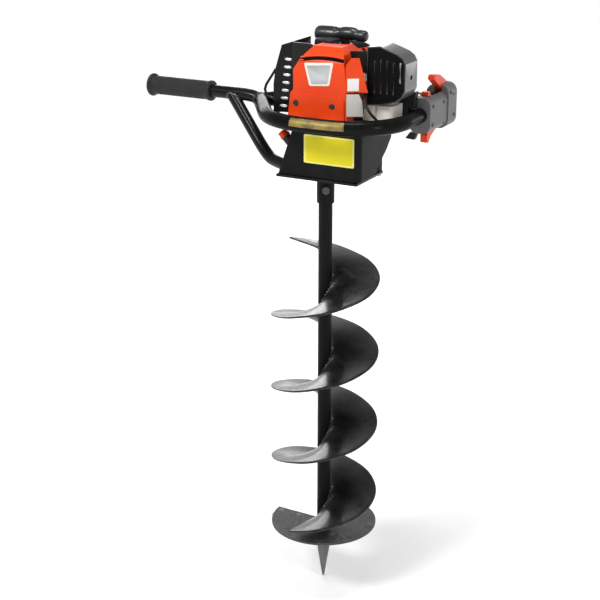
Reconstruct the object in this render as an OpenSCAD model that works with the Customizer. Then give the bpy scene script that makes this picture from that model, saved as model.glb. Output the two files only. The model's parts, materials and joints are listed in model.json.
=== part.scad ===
// Petrol earth auger: two-stroke powerhead on a tubular frame, gearbox and spiral bit.
// Millimetres. Origin on the output shaft's axis at the base plate's underside, +Z up,
// -Y towards the front panel, +X towards the throttle handle.

/* [Bit] */
// outer radius of the spiral
bit_r = 95.5; // [60:0.5:150]
// rise of the spiral in one turn
flight_pitch = 136; // [90:1:180]
// thickness of the spiral's plate
flight_t = 4; // [3:0.5:6]
// outer radius of the bit's tube
tube_r = 12.25; // [11:0.25:16]
// inner radius of the bit's tube
tube_bore_r = 9.5; // [7:0.25:10.5]
// outer radius of the socket that takes the output shaft
socket_r = 15.25; // [14:0.25:20]
// height of the socket's lower end
socket_low = -53; // [-70:1:-48]
// direction of the coupling bolt, in degrees
bolt_turn = -62; // [-90:1:90]
// height of the cutter plate's upper face
cutter_z = -657; // [-760:1:-560]
// height of the last turn's end over the cutter plate
end_lift = 9.7; // [0:0.1:20]
// radial length of the bolted blade
blade_len = 66; // [40:1:70]
// height of the pilot's tip
tip_z = -776; // [-900:1:-740]
// segments of the spiral in one turn
flight_seg = 60; // [36:6:96]

/* [Frame] */
// outer radius of the skirt's bend
bend_r = 12; // [6:0.5:16]
// thickness of the base plate
plate_t = 4; // [3:0.5:6]
// thickness of the bent front sheet
sheet_t = 2.5; // [1.5:0.5:4]
// distance that the base plate stands out under the skirt
lip_out = 3.5; // [0:0.5:6]
// front face of the skirt
skirt_front = -62.5; // [-80:0.5:-58]
// right edge of the base plate
plate_right = 90; // [90:1:110]
// distance between the two carriage holes
carriage_gap = 110; // [106:1:112]
// height of the deck's underside
deck_z = 94; // [94:1:98]
// thickness of the deck
deck_t = 3; // [2:0.5:3]
// outer radius of the hoop's tube
hoop_r = 12.5; // [10:0.5:14]
// height of the hoop's centre line
hoop_z = 106; // [104:1:110]
// radius of the hoop's left bends
hoop_bend = 115; // [100:1:120]
// radius of the hoop's right bends
hoop_corner = 96; // [80:1:100]
// radius of the handle's tube
handle_r = 11; // [9:0.5:13]
// height of the handle's centre line
handle_z = 113; // [110:1:118]
// left end of the handle's tube
handle_end = -356; // [-420:1:-330]
// length of the rubber grip
grip_len = 128; // [100:1:150]
// outer radius of the rubber grip
grip_r = 16.5; // [14:0.5:20]
// radius of the diagonal brace
brace_r = 10.5; // [7:0.5:11]

/* [Gearbox] */
// module of the first gear pair
mod_in = 1.25; // [1:0.05:1.3]
// module of the second gear pair
mod_out = 1.5; // [1.2:0.05:1.55]
// teeth of both pinions
pinion_teeth = 10; // [10:1:10]
// teeth of the layshaft's large gear
lay_teeth = 56; // [50:1:56]
// teeth of the output gear
out_teeth = 50; // [44:1:50]
// thickness taken off each tooth for backlash
backlash = 0.22; // [0.1:0.02:0.4]
// wall of the castings
cast_wall = 4.5; // [3:0.5:5]
// radius of the output shaft
shaft_r = 10; // [9:0.5:10]
// radius of the clutch drum
drum_r = 39; // [34:0.5:40]
// radius of the filler plug's head
plug_r = 9; // [7:0.5:11]

/* [Engine] */
// crank axis to the right of the output shaft
crank_x = 15; // [13:1:17]
// crank axis behind the output shaft
crank_y = 40; // [39:1:41]
// radius of the crankcase
case_r = 44; // [42:0.5:45]
// outer radius of the fan housing
fan_r = 56; // [54:0.5:57]
// height of the cylinder's axis
bore_z = 158; // [156:0.5:160]
// number of cooling fins
fin_count = 7; // [5:1:7]
// width of the cooling fins
fin_w = 80; // [70:1:84]
// front face of the cylinder cover
cover_y = -62; // [-66:0.5:-60]
// left face of the cylinder cover
cover_left = -40; // [-41:0.5:-39]
// right face of the cylinder cover
cover_right = 70; // [68:0.5:72]
// upper face of the cylinder cover
cover_top = 220; // [216:0.5:222]
// wall of moulded covers
wall = 2.5; // [1.5:0.25:3]
// radius of the recoil starter's housing
recoil_r = 53; // [50:0.5:56]
// height of the recoil starter's top
recoil_top = 212; // [210:0.5:213]
// length of the starter's pull grip
pull_len = 90; // [70:1:100]
// number of slots in the exhaust guard
guard_slots = 7; // [4:1:7]
// upper end of the air cleaner
air_top = 226; // [215:1:232]
// height of the fuel tank
tank_h = 64; // [40:1:80]
// radius of the fuel cap
cap_r = 17; // [15:0.5:20]

/* [Throttle handle] */
// half of the throttle shell's width
shell_w = 18.5; // [17:0.5:22]
// underside of the throttle shell
shell_low = 76; // [74:0.5:80]
// upper side of the throttle shell
shell_high = 135; // [130:0.5:136]
// front end of the throttle shell
shell_front = 30; // [20:1:34]
// rear end of the throttle shell
shell_back = 138; // [137:1:150]
// distance of the trigger's pivot behind the shaft
trigger_y = 90; // [84:1:90]
// distance of the lock-out's pivot behind the shaft
lockout_y = 124; // [120:1:126]
// distance of the switch behind the shaft
switch_y = 48; // [40:1:50]
// width of the trigger, the lock-out and the switch
lever_w = 12; // [8:0.5:13]

/* [Fits] */
// radial clearance of turning shafts
run_gap = 0.05; // [0.02:0.01:0.09]
// clearance of seated parts
seat_gap = 0.02; // [0.01:0.01:0.04]
// clearance beside swinging levers
swing_gap = 0.75; // [0.4:0.05:1.2]

/* [Hidden] */
$fn = 64;
black = [0.06, 0.06, 0.065];
orange = [0.92, 0.29, 0.07];
steel = [0.55, 0.56, 0.58];
alloy = [0.72, 0.73, 0.74];
dark = [0.16, 0.16, 0.17];
cream = [0.86, 0.83, 0.76];
// pitch radii and centre distances
pin_in_r = mod_in * pinion_teeth / 2;
gear_lay_r = mod_in * lay_teeth / 2;
pin_out_r = mod_out * pinion_teeth / 2;
gear_out_r = mod_out * out_teeth / 2;
span_in = pin_in_r + gear_lay_r;
span_out = pin_out_r + gear_out_r;
// the layshaft stands where both centre distances meet, to the right of the two axes
span_ax = sqrt(crank_x * crank_x + crank_y * crank_y);
lay_along = (span_out * span_out - span_in * span_in + span_ax * span_ax) / (2 * span_ax);
lay_off = sqrt(span_out * span_out - lay_along * lay_along);
lay_x = (crank_x * lay_along + crank_y * lay_off) / span_ax;
lay_y = (crank_y * lay_along - crank_x * lay_off) / span_ax;
dir_lay_out = atan2(-lay_y, -lay_x);
dir_lay_in = atan2(crank_y - lay_y, crank_x - lay_x);
// hoop: plan positions of bends
joint_y = crank_y - case_r - 2;
tank_front = crank_y + case_r + 18;
hoop_mid = 21;
hoop_front = -119;
hoop_right = 157;
bend_x = 17.4;
bend_y = hoop_front + hoop_bend;
corner_x = hoop_right - hoop_corner;
corner_y = hoop_front + hoop_corner;
rake = 56;
leg = (hoop_mid - bend_y + hoop_bend * cos(rake)) / sin(rake);
apex_x = bend_x - hoop_bend * sin(rake) - leg * cos(rake);
gear_low = 13;
// Y of a line inside the hoop's front half, at one X and one distance from its centre line
function hoop_y(x, d) =
  x < bend_x - (hoop_bend - d) * sin(rake) ? hoop_mid - (x - apex_x) * tan(rake) + d / cos(rake) :
  x < bend_x ? bend_y - sqrt(pow(hoop_bend - d, 2) - pow(x - bend_x, 2)) :
  x < corner_x ? hoop_front + d :
  corner_y - sqrt(pow(hoop_corner - d, 2) - pow(x - corner_x, 2));
function hoop_back(x, d) = 2 * hoop_mid - hoop_y(x, d);
// the deck's upper edge meets the tube at this distance from the tube's centre line
tuck = sqrt(pow(hoop_r, 2) - pow(hoop_z - deck_z - deck_t, 2)) + 0.2;
ears = [[-44.2, 16.1], [-16.1, -44.2], [66.3, -28.6], [82.5, 33]];
// angle of the spiral where it is level with its reference height
ref_angle = 28;
ref_z = -187.8;
top_angle = 159;
low_angle = ref_angle + (cutter_z + flight_t / 2 + end_lift - ref_z) * 360 / flight_pitch;
turn_angle = (top_angle - low_angle) / 4;

// round bar from one point to another
module bar(a, b, r, fn = 32) {
  d = b - a;
  l = norm(d);
  translate(a) rotate([0, acos(d[2] / l), atan2(d[1], d[0])]) cylinder(r = r, h = l, $fn = fn);
}

// round cord through a list of points
module cord(pts, r) {
  for (i = [0 : len(pts) - 2]) bar(pts[i], pts[i + 1], r, 16);
  for (i = [1 : len(pts) - 2]) translate(pts[i]) sphere(r = r + 0.06, $fn = 16);
}

// extrusion of a plan given in Y and Z, from one X to another
module across(x0, x1) {
  translate([x0, 0, 0]) rotate([90, 0, 90]) linear_extrude(x1 - x0) children();
}

// extrusion of a plan given in X and Z, from one Y to another
module along(y0, y1) {
  translate([0, y1, 0]) rotate([90, 0, 0]) linear_extrude(y1 - y0) children();
}

// rectangle with round corners
module soft_rect(x0, y0, x1, y1, r) {
  translate([x0 + r, y0]) square([x1 - x0 - 2 * r, y1 - y0]);
  translate([x0, y0 + r]) square([x1 - x0, y1 - y0 - 2 * r]);
  for (x = [x0 + r, x1 - r], y = [y0 + r, y1 - r]) translate([x, y]) circle(r = r, $fn = 32);
}

module hex(r, h) {
  cylinder(r = r, h = h, $fn = 6);
}

// involute function, in degrees
function inv(a) = tan(a) * 180 / PI - a;

// half the angle of a tooth at one radius
function half_tooth(rho, r, rb, t) =
  t / (2 * r) * 180 / PI + inv(acos(rb / r)) - (rho > rb ? inv(acos(rb / rho)) : 0);

// involute gear outline with a tooth centred on angle 0
function gear_pts(m, n) =
  let (r = m * n / 2, rb = r * cos(25), tip = r + 0.8 * m, low = r - 1.05 * m,
    t = PI * m / 2 - backlash, s = max(rb, low + 0.01),
    rho = [low, s, s + (tip - s) * 0.4, s + (tip - s) * 0.75, tip])
  [for (i = [0 : n - 1]) for (k = [0 : 9])
    let (j = k < 5 ? k : 9 - k, side = k < 5 ? -1 : 1,
      a = i * 360 / n + side * half_tooth(rho[j], r, rb, t))
    [rho[j] * cos(a), rho[j] * sin(a)]];

module gear(m, n, h) {
  linear_extrude(h) polygon(gear_pts(m, n));
}

module half_hoop(r) {
  bar([apex_x, hoop_mid, hoop_z],
    [bend_x - hoop_bend * sin(rake), bend_y - hoop_bend * cos(rake), hoop_z], r);
  translate([bend_x, bend_y, hoop_z]) rotate([0, 0, 270 - rake]) rotate_extrude(angle = rake)
    translate([hoop_bend, 0]) circle(r = r, $fn = 32);
  bar([bend_x, hoop_front, hoop_z], [corner_x, hoop_front, hoop_z], r);
  translate([corner_x, corner_y, hoop_z]) rotate([0, 0, 270]) rotate_extrude(angle = 90)
    translate([hoop_corner, 0]) circle(r = r, $fn = 32);
  bar([hoop_right, corner_y, hoop_z], [hoop_right, hoop_mid, hoop_z], r);
}

module hoop_path(r) {
  half_hoop(r);
  translate([0, 2 * hoop_mid, 0]) mirror([0, 1, 0]) half_hoop(r);
  translate([apex_x, hoop_mid, hoop_z]) sphere(r = r, $fn = 32);
}

module handle_bar(r) {
  bar([handle_end, hoop_mid, handle_z], [apex_x - 10.5, hoop_mid, handle_z], r);
}

module base_plate() {
  color(black) difference() {
    linear_extrude(plate_t) polygon([[-66, -10], [-66, 58], [-44, 80], [28, 80], [60, 58],
      [86, 44], [plate_right, 36], [plate_right, skirt_front - lip_out], [-60, skirt_front - lip_out],
      [-60, -22]]);
    translate([0, 0, -1]) cylinder(r = 26.2, h = plate_t + 2);
    for (e = ears) translate([e[0], e[1], -1]) cylinder(r = 3.2, h = plate_t + 2, $fn = 32);
    for (y = [-1, 1]) translate([0, y * carriage_gap / 2, -1])
      cylinder(r = 4.25, h = plate_t + 2, $fn = 32);
  }
}

// plan of the bent skirt, grown inwards by d
module skirt_plan(d) {
  right = plate_right + sheet_t - d;
  r = bend_r - d;
  translate([-100, skirt_front + d]) square([right + 100 - r, 180]);
  translate([-100, skirt_front + bend_r]) square([right + 100, 180]);
  translate([right - r, skirt_front + bend_r]) circle(r = r);
}

module skirt() {
  right = plate_right + sheet_t;
  color(black) difference() {
    translate([0, 0, plate_t]) linear_extrude(deck_z - plate_t) difference() {
      skirt_plan(0);
      skirt_plan(sheet_t);
    }
    along(skirt_front - 20, skirt_front + 20)
      polygon([[-110, -20], [-58, -20], [-58, plate_t], [-27, deck_z], [-27, 120], [-110, 120]]);
    across(right - 40, right + 20)
      polygon([[-8, -20], [-8, plate_t], [44, 40], [62, 58], [62, 120], [150, 120], [150, -20]]);
  }
  color(black) translate([-20, skirt_front + sheet_t - 0.5, deck_z - sheet_t])
    cube([plate_right - bend_r + 18, 14, sheet_t]);
}

// strip of the deck between two X values, out to the hoop's tube
module deck_arm(x0, x1, y) {
  polygon(y < 0 ? [[x0, y], [x1, y], [x1, hoop_y(x1, tuck)], [x0, hoop_y(x0, tuck)]]
    : [[x0, y], [x1, y], [x1, hoop_back(x1, tuck)], [x0, hoop_back(x0, tuck)]]);
}

module deck_plate() {
  color(black) translate([0, 0, deck_z]) linear_extrude(deck_t) difference() {
    union() {
      translate([-36, skirt_front]) square([plate_right + sheet_t + 36, 96 - skirt_front]);
      deck_arm(-4, 18, skirt_front + 1);
      deck_arm(64, 86, skirt_front + 1);
      polygon([[78, skirt_front + 1], [plate_right + sheet_t - 1, -40], [130, hoop_y(130, tuck)],
        [115, hoop_y(115, tuck)]]);
      translate([-80, 80]) square([188, 16]);
      deck_arm(-76, -58, 81);
      deck_arm(90, 108, 81);
      for (x = [-12, 54]) translate([x, 90]) square([18, 12]);
      translate([-100, hoop_mid - 11]) square([66, 22]);
      polygon([[-100, hoop_y(-100, tuck)], [-86, hoop_y(-86, tuck)], [-86, hoop_back(-86, tuck)],
        [-100, hoop_back(-100, tuck)]]);
    }
    translate([crank_x, crank_y]) circle(r = case_r);
  }
}

module hoop() {
  color(black) hoop_path(hoop_r);
}

module handle_tube() {
  color(black) difference() {
    handle_bar(handle_r);
    translate([apex_x, hoop_mid, hoop_z]) sphere(r = hoop_r + 0.4, $fn = 32);
  }
}

module handle_brace() {
  low = plate_t + brace_r + 0.1;
  pts = [[-196, hoop_mid, 114], [-113.5, -18, 35.6], [-90.3, -30, 19], [-44, -49.5, low]];
  color(black) difference() {
    union() {
      for (i = [0 : 2]) bar(pts[i], pts[i + 1], brace_r);
      for (i = [1, 2]) translate(pts[i]) sphere(r = brace_r + 0.1, $fn = 32);
    }
    handle_bar(handle_r);
    translate([-230, hoop_mid - 20, handle_z]) cube([60, 40, 30]);
  }
}

module handle_grip() {
  color(dark) translate([handle_end - 5, hoop_mid, handle_z]) rotate([0, 90, 0]) difference() {
    union() {
      cylinder(r = grip_r, h = grip_len);
      cylinder(r = grip_r + 3.5, h = 8);
      translate([0, 0, grip_len - 7]) cylinder(r = grip_r + 1.4, h = 7);
    }
    translate([0, 0, 5]) cylinder(r = handle_r + seat_gap, h = grip_len);
  }
}

module gear_plan(grow) {
  circle(r = gear_out_r + 3.5 + grow);
  translate([lay_x, lay_y]) circle(r = gear_lay_r + 3.5 + grow);
  translate([crank_x, crank_y]) circle(r = 12 + grow);
}

// filler neck that leans away from the box at half a right angle
module neck(r, from, to) {
  translate([-40.3, -17, 30.3]) rotate([0, -45, 0]) translate([0, 0, from])
    cylinder(r = r, h = to - from, $fn = 32);
}

module gearbox_lower() {
  color(alloy) difference() {
    union() {
      translate([0, 0, plate_t]) linear_extrude(46 - plate_t) gear_plan(cast_wall);
      cylinder(r = 26, h = plate_t + 1);
      for (e = ears) translate([e[0], e[1], plate_t]) cylinder(r = 6.5, h = 46 - plate_t, $fn = 32);
      neck(8, 0, 38);
    }
    translate([0, 0, 11]) linear_extrude(40) gear_plan(0);
    neck(5, -4, 40);
    translate([0, 0, 3]) cylinder(r = 21 + seat_gap, h = 10);
    translate([0, 0, -1]) cylinder(r = 15 + seat_gap, h = 10);
    translate([lay_x, lay_y, 6]) cylinder(r = 11 + seat_gap, h = 8);
    for (e = ears) translate([e[0], e[1], 0]) {
      cylinder(r = 3 + seat_gap, h = 15, $fn = 32);
      translate([0, 0, 20]) cylinder(r = 3 + seat_gap, h = 30, $fn = 32);
    }
  }
}

module gearbox_upper() {
  color(alloy) difference() {
    union() {
      translate([0, 0, 46]) linear_extrude(10) {
        gear_plan(cast_wall);
        translate([crank_x, crank_y]) circle(r = 48);
      }
      translate([crank_x, crank_y, 50]) cylinder(r = 48, h = deck_z - 50);
      for (e = ears) translate([e[0], e[1], 46]) cylinder(r = 6.5, h = 10, $fn = 32);
    }
    translate([crank_x, crank_y, 56]) cylinder(r = 44, h = 60);
    translate([crank_x, crank_y, 40]) cylinder(r = 16 + seat_gap, h = 30);
    translate([0, 0, 40]) cylinder(r = 12 + seat_gap, h = 11.5);
    translate([lay_x, lay_y, 40]) cylinder(r = 11 + seat_gap, h = 11.5);
    for (e = ears) translate([e[0], e[1], 40]) cylinder(r = 3 + seat_gap, h = 30, $fn = 32);
  }
}

module gearbox_bolts() {
  color(steel) for (e = ears) translate([e[0], e[1], 0]) {
    translate([0, 0, 24]) cylinder(r = 3, h = 34, $fn = 32);
    translate([0, 0, 56]) hex(5.5, 5);
  }
}

module base_bolts() {
  color(steel) for (e = ears) translate([e[0], e[1], 0]) {
    translate([0, 0, -1]) cylinder(r = 3, h = 13, $fn = 32);
    translate([0, 0, -4]) hex(5.5, 4);
  }
}

module oil_plug() {
  color(orange) {
    neck(5 - seat_gap, 28, 39);
    neck(plug_r, 38, 42);
    neck(plug_r - 1, 42, 49);
  }
}

module ring(x, y, z, r_out, r_in, h) {
  translate([x, y, z]) difference() {
    cylinder(r = r_out, h = h);
    translate([0, 0, -1]) cylinder(r = r_in, h = h + 2);
  }
}

module bearings() {
  color(steel) {
    ring(0, 0, 3, 21, shaft_r + run_gap, 8);
    ring(0, 0, 46, 12, 6 + run_gap, 5);
    ring(lay_x, lay_y, 6, 11, 5 + run_gap, 5);
    ring(lay_x, lay_y, 46, 11, 5 + run_gap, 5);
    ring(crank_x, crank_y, 46, 16, 7.5 + run_gap, 10);
  }
}

module oil_seal() {
  color(dark) ring(0, 0, 0.2, 15, shaft_r + run_gap, 2.8);
}

module output_shaft() {
  color(steel) difference() {
    union() {
      translate([0, 0, -45]) cylinder(r = shaft_r, h = 45 + gear_low + 14.5);
      translate([0, 0, gear_low + 14]) cylinder(r = 6, h = 51 - gear_low - 14);
    }
    rotate([0, 0, bolt_turn]) translate([-30, 0, -28]) rotate([0, 90, 0])
      cylinder(r = 4 + seat_gap, h = 60, $fn = 32);
  }
}

module output_gear() {
  color(steel) translate([0, 0, gear_low]) difference() {
    rotate([0, 0, dir_lay_out + 180 + 180 / out_teeth]) gear(mod_out, out_teeth, 14);
    translate([0, 0, -1]) cylinder(r = shaft_r + seat_gap, h = 20);
  }
}

module layshaft() {
  color(steel) translate([lay_x, lay_y, 0]) {
    translate([0, 0, 6.5]) cylinder(r = 5, h = 44);
    translate([0, 0, 12]) rotate([0, 0, dir_lay_out]) gear(mod_out, pinion_teeth, 16);
  }
}

module layshaft_gear() {
  color(steel) translate([lay_x, lay_y, 32]) difference() {
    rotate([0, 0, dir_lay_in + 180 / lay_teeth]) gear(mod_in, lay_teeth, 10);
    translate([0, 0, -1]) cylinder(r = 5 + seat_gap, h = 20);
  }
}

module input_pinion() {
  color(steel) translate([crank_x, crank_y, 0]) {
    translate([0, 0, 30]) rotate([0, 0, dir_lay_in + 180]) gear(mod_in, pinion_teeth, 15);
    translate([0, 0, 44]) cylinder(r = 7.5, h = 18);
  }
}

module clutch_drum() {
  color(steel) translate([crank_x, crank_y, 58.5]) difference() {
    cylinder(r = drum_r, h = 25.5);
    translate([0, 0, 3]) cylinder(r = drum_r - 2.5, h = 40);
    translate([0, 0, -1]) cylinder(r = 7.5 + seat_gap, h = 10);
    for (i = [0 : 5]) rotate([0, 0, i * 60]) translate([22, 0, -1]) cylinder(r = 5, h = 10, $fn = 32);
  }
}

module clutch_shoes() {
  color(dark) translate([crank_x, crank_y, 65]) difference() {
    union() {
      cylinder(r = 14, h = 15);
      for (i = [0, 180]) rotate([0, 0, i]) {
        rotate([0, 0, 20]) rotate_extrude(angle = 140) translate([24, 0]) square([drum_r - 27.7, 15]);
        translate([-6, 10, 0]) cube([12, 18, 15]);
      }
    }
    translate([0, 0, -1]) cylinder(r = 8 + seat_gap, h = 20);
  }
}

module crankshaft() {
  color(steel) translate([crank_x, crank_y, 0]) {
    translate([0, 0, 65]) cylinder(r = 8, h = 80);
    translate([0, 0, 138]) cylinder(r = 30, h = 12);
    translate([16, 0, 145]) cylinder(r = 6, h = 26);
    translate([0, 0, 166]) cylinder(r = 30, h = 12);
    translate([0, 0, 170]) cylinder(r = 8, h = 26);
  }
}

module flywheel_fan() {
  color(alloy) translate([crank_x, crank_y, 102]) difference() {
    union() {
      cylinder(r = fan_r - 10, h = 4);
      cylinder(r = 14, h = 16);
      for (i = [0 : 13]) rotate([0, 0, i * 360 / 14]) translate([22, -1.2, 2]) cube([fan_r - 33, 2.4, 15]);
    }
    translate([0, 0, -1]) cylinder(r = 8 + seat_gap, h = 30);
  }
}

module fan_housing() {
  color(alloy) translate([crank_x, crank_y, 0]) difference() {
    translate([0, 0, deck_z + deck_t]) cylinder(r = fan_r, h = 126 - deck_z - deck_t);
    translate([0, 0, 100]) cylinder(r = fan_r - 4, h = 23);
    translate([0, 0, 90]) cylinder(r = 40, h = 20);
    translate([0, 0, 110]) cylinder(r = 14, h = 30);
    translate([-24, -fan_r - 5, 103]) cube([48, 40, 17]);
  }
}

module crankcase() {
  color(alloy) difference() {
    union() {
      translate([crank_x, crank_y, 126]) cylinder(r = case_r, h = 64);
      translate([crank_x - 32, joint_y, 128]) cube([64, 30, 60]);
      translate([crank_x, crank_y, 154]) cylinder(r = case_r + 2, h = 8);
    }
    translate([crank_x, crank_y, 134]) cylinder(r = 33, h = 48);
    translate([crank_x, crank_y, 100]) cylinder(r = 8 + run_gap, h = 100);
  }
}

module cylinder_block_fins() {
  pitch = 36 / (fin_count - 1);
  for (i = [0 : fin_count - 1])
    along(-50 + i * pitch, -48 + i * pitch)
      soft_rect(crank_x - fin_w / 2, 126, crank_x + fin_w / 2, 188, 8);
}

module cylinder_node() {
  color(alloy) difference() {
    union() {
      along(-54, joint_y) translate([crank_x, bore_z]) circle(r = 27);
      along(joint_y - 4, joint_y) soft_rect(crank_x - 31, 129, crank_x + 31, 187, 6);
      cylinder_block_fins();
      translate([-32, -36, 146]) cube([40, joint_y + 30, 24]);
      translate([20, -30, 140]) cube([40, joint_y + 30, 24]);
      translate([crank_x, -44, 160]) cylinder(r = 10, h = 21, $fn = 32);
    }
    translate([crank_x, -44, 172]) cylinder(r = 6 + seat_gap, h = 20, $fn = 32);
    translate([crank_x, -44, 181]) cylinder(r = 11, h = 20, $fn = 32);
  }
}

// front view of the moulded cylinder cover, drawn in by one wall
module cover_front(d, low) {
  left = cover_left + d;
  right = cover_right - d;
  polygon([[left, low], [right - 1, low], [right - 3.5, 156], [right - 6, 190 - 0.4 * d],
    [right - 11, 210 - 0.4 * d], [right - 21, cover_top - d], [left + 39, cover_top - d],
    [left + 29, 207 - 0.6 * d], [left + 19, 194 - 0.4 * d], [left + 11, 182], [left + 11, 150],
    [left + 5, 142]]);
}

// side view of the moulded cylinder cover, drawn in by one wall
module cover_side(d, low, back) {
  polygon([[cover_y + d, low], [back, low], [back, cover_top - d], [cover_y + 20 + 0.6 * d, cover_top - d],
    [cover_y + 6 + 0.8 * d, 209 - 0.5 * d], [cover_y + d, 198 - 0.4 * d]]);
}

module cylinder_cover() {
  color(orange) difference() {
    union() {
      intersection() {
        along(cover_y, 10) cover_front(0, 97.5);
        across(cover_left, cover_right) cover_side(0, 97.5, 10);
      }
      along(cover_y - 2.5, cover_y + 1) polygon([[cover_left + 4, 99], [cover_right - 5, 99],
        [cover_right - 6, 138], [cover_right - 11, 143], [cover_left + 13, 143], [cover_left + 8, 138]]);
    }
    intersection() {
      along(cover_y, 20) cover_front(wall, 90);
      across(cover_left, cover_right) cover_side(wall, 90, 20);
    }
    translate([cover_left - 5, -38, 143]) cube([25, 28, 30]);
    translate([cover_right - 11, -33, 137]) cube([16, 30, 30]);
    translate([crank_x, crank_y, 186]) cylinder(r = recoil_r + 1.5, h = 40);
    translate([cover_right - 9, -36, 90]) cube([14, 60, 44]);
    translate([cover_left + 8, crank_y - recoil_r - 3, 198]) cube([30, 40, 13]);
    for (x = [-23, 43]) translate([x, cover_y + 10, 127]) rotate([90, 0, 0]) {
      cylinder(r = 2.5, h = 20, $fn = 32);
      translate([0, 0, 9.5]) cylinder(r = 5.5, h = 10, $fn = 32);
    }
  }
}

module cover_screws() {
  color(steel) for (x = [-23, 43]) translate([x, cover_y + 10, 127]) rotate([90, 0, 0]) {
    translate([0, 0, -2]) cylinder(r = 2.45, h = 12, $fn = 32);
    translate([0, 0, 9.5]) cylinder(r = 4.5, h = 1.8, $fn = 32);
  }
}

module recoil_housing() {
  color(orange) translate([crank_x, crank_y, 0]) difference() {
    rotate_extrude($fn = 96) polygon([[16, 190], [recoil_r, 190], [recoil_r, recoil_top - 15],
      [recoil_r - 4, recoil_top - 9], [recoil_r - 13, recoil_top - 2.5], [recoil_r - 18, recoil_top],
      [0.01, recoil_top], [0.01, recoil_top - 3], [recoil_r - 20, recoil_top - 3],
      [recoil_r - 16, recoil_top - 5], [recoil_r - 7, recoil_top - 11], [recoil_r - 3, recoil_top - 16],
      [recoil_r - 3, 193], [16, 193]]);
    translate([0, 0, 200]) cylinder(r = 5, h = 40, $fn = 32);
  }
}

// pull grip along X above the rope's hole
module starter_handle() {
  x0 = crank_x - pull_len / 2 - 7;
  color(black) {
    translate([crank_x, crank_y, 202]) cylinder(r = 2.2, h = 24, $fn = 32);
    translate([crank_x, crank_y, recoil_top + 0.4]) cylinder(r = 8, h = 12, $fn = 32);
    bar([x0, crank_y, 226], [x0 + pull_len * 0.45, crank_y, 226], 11);
    bar([x0 + pull_len * 0.4, crank_y, 229], [x0 + pull_len * 0.8, crank_y, 229], 8.5);
    bar([x0 + pull_len * 0.79, crank_y, 227], [x0 + pull_len, crank_y, 227], 7.5);
  }
}

module spark_plug() {
  color(steel) translate([crank_x, -44, 0]) {
    translate([0, 0, 173]) cylinder(r = 6, h = 9, $fn = 32);
    translate([0, 0, 181]) hex(8, 7);
    translate([0, 0, 188]) cylinder(r = 4.5, h = 9, $fn = 32);
  }
}

module plug_cap() {
  color(black) difference() {
    union() {
      translate([crank_x, -44, 189]) cylinder(r = 8, h = 14, $fn = 32);
      along(-44, crank_y - recoil_r - 11) translate([crank_x, 195.5]) circle(r = 5, $fn = 32);
    }
    translate([crank_x, -44, 180]) cylinder(r = 4.5 + seat_gap, h = 17.2, $fn = 32);
  }
}

module ignition_coil() {
  y = crank_y + case_r + 3;
  color(dark) {
    translate([crank_x - 15, y, 126]) cube([30, 9, 26]);
    translate([crank_x - 9, y + 9, 130]) cube([18, 4, 18]);
  }
}

module ignition_lead() {
  y = crank_y + case_r + 8;
  front = crank_y - recoil_r;
  side = crank_x - recoil_r;
  color(black) cord([[crank_x, y, 152], [crank_x, y, 162], [side + 8, y - 10, 174],
    [side - 8, crank_y + 6, 193], [side + 2, front + 9, 204.5], [crank_x - 7, front - 3, 204],
    [crank_x, front - 4, 195.5], [crank_x, front - 10.98, 195.5]], 2.4);
}

module muffler() {
  color(steel) {
    along(-34, 22) polygon([[-48, 122], [-71, 122], [-71, 152], [-66, 176], [-58, 200], [-48, 200]]);
    translate([-50, -24, bore_z]) rotate([0, 90, 0]) cylinder(r = 10, h = 18, $fn = 32);
  }
}

module guard_front(d) {
  polygon([[-43.5 - d, 105 + d], [-77 + d, 104 + d], [-77 + d, 150], [-73 + d, 177], [-61 + d, 216 - d],
    [-43.5 - d, 222 - d]]);
}

module muffler_guard() {
  loop = [[-77.05, -38, 124], [-92, -38, 128], [-95.5, -38, 139], [-93, -38, 147], [-74.8, -38, 174]];
  color(black) for (z = [132, 184.5]) along(-41, -34) translate([-57, z]) square([6, 5]);
  color(black) difference() {
    along(-42, 28) guard_front(0);
    along(-42 + wall, 40) guard_front(wall);
    translate([-47, -40 + wall, 100]) cube([10, 80, 105]);
    hoop_path(hoop_r + 1.5);
    for (i = [0 : guard_slots - 1]) translate([-66 + i * 1.5, -50, 112 + i * 13]) cube([15, 20, 6]);
    for (i = [0 : 4]) translate([-85, -22 + i * 9, 118]) cube([15, 4, 20]);
  }
  color(black) difference() {
    cord(loop, 2.2);
    along(-42, 28) guard_front(-0.05);
  }
}

module intake_block() {
  color(black) difference() {
    translate([60, -30, 140]) cube([14, 24, 24]);
    translate([50, -18, 152]) rotate([0, 90, 0]) cylinder(r = 8, h = 40, $fn = 32);
  }
}

module carburettor() {
  color(alloy) difference() {
    union() {
      translate([74, -29, 138]) cube([34, 24, 28]);
      translate([78, -27, 134]) cube([24, 20, 5]);
      translate([91, -17, 160]) cylinder(r = 7, h = 12, $fn = 32);
    }
    translate([70, -18, 152]) rotate([0, 90, 0]) cylinder(r = 8, h = 50, $fn = 32);
    translate([81, -40, 156]) rotate([-90, 0, 0]) cylinder(r = 2 + run_gap, h = 20, $fn = 32);
  }
}

module choke_lever() {
  color(orange) {
    translate([81, -38, 156]) rotate([-90, 0, 0]) cylinder(r = 2, h = 17, $fn = 32);
    translate([81, -39, 156]) rotate([-90, 0, 0]) cylinder(r = 5, h = 3, $fn = 32);
    translate([78.5, -39, 156]) cube([5, 3, 22]);
    translate([77.5, -43, 172]) cube([7, 7, 8]);
  }
}

module air_cleaner_base() {
  color(black) difference() {
    along(-31, 9) polygon([[108, 137], [111, 137], [111, 218], [108, 218]]);
    translate([100, -18, 152]) rotate([0, 90, 0]) cylinder(r = 8, h = 20, $fn = 32);
  }
}

module air_filter() {
  color(dark) along(-29, 7) soft_rect(111, 146, 140, 204, 4);
}

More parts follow.
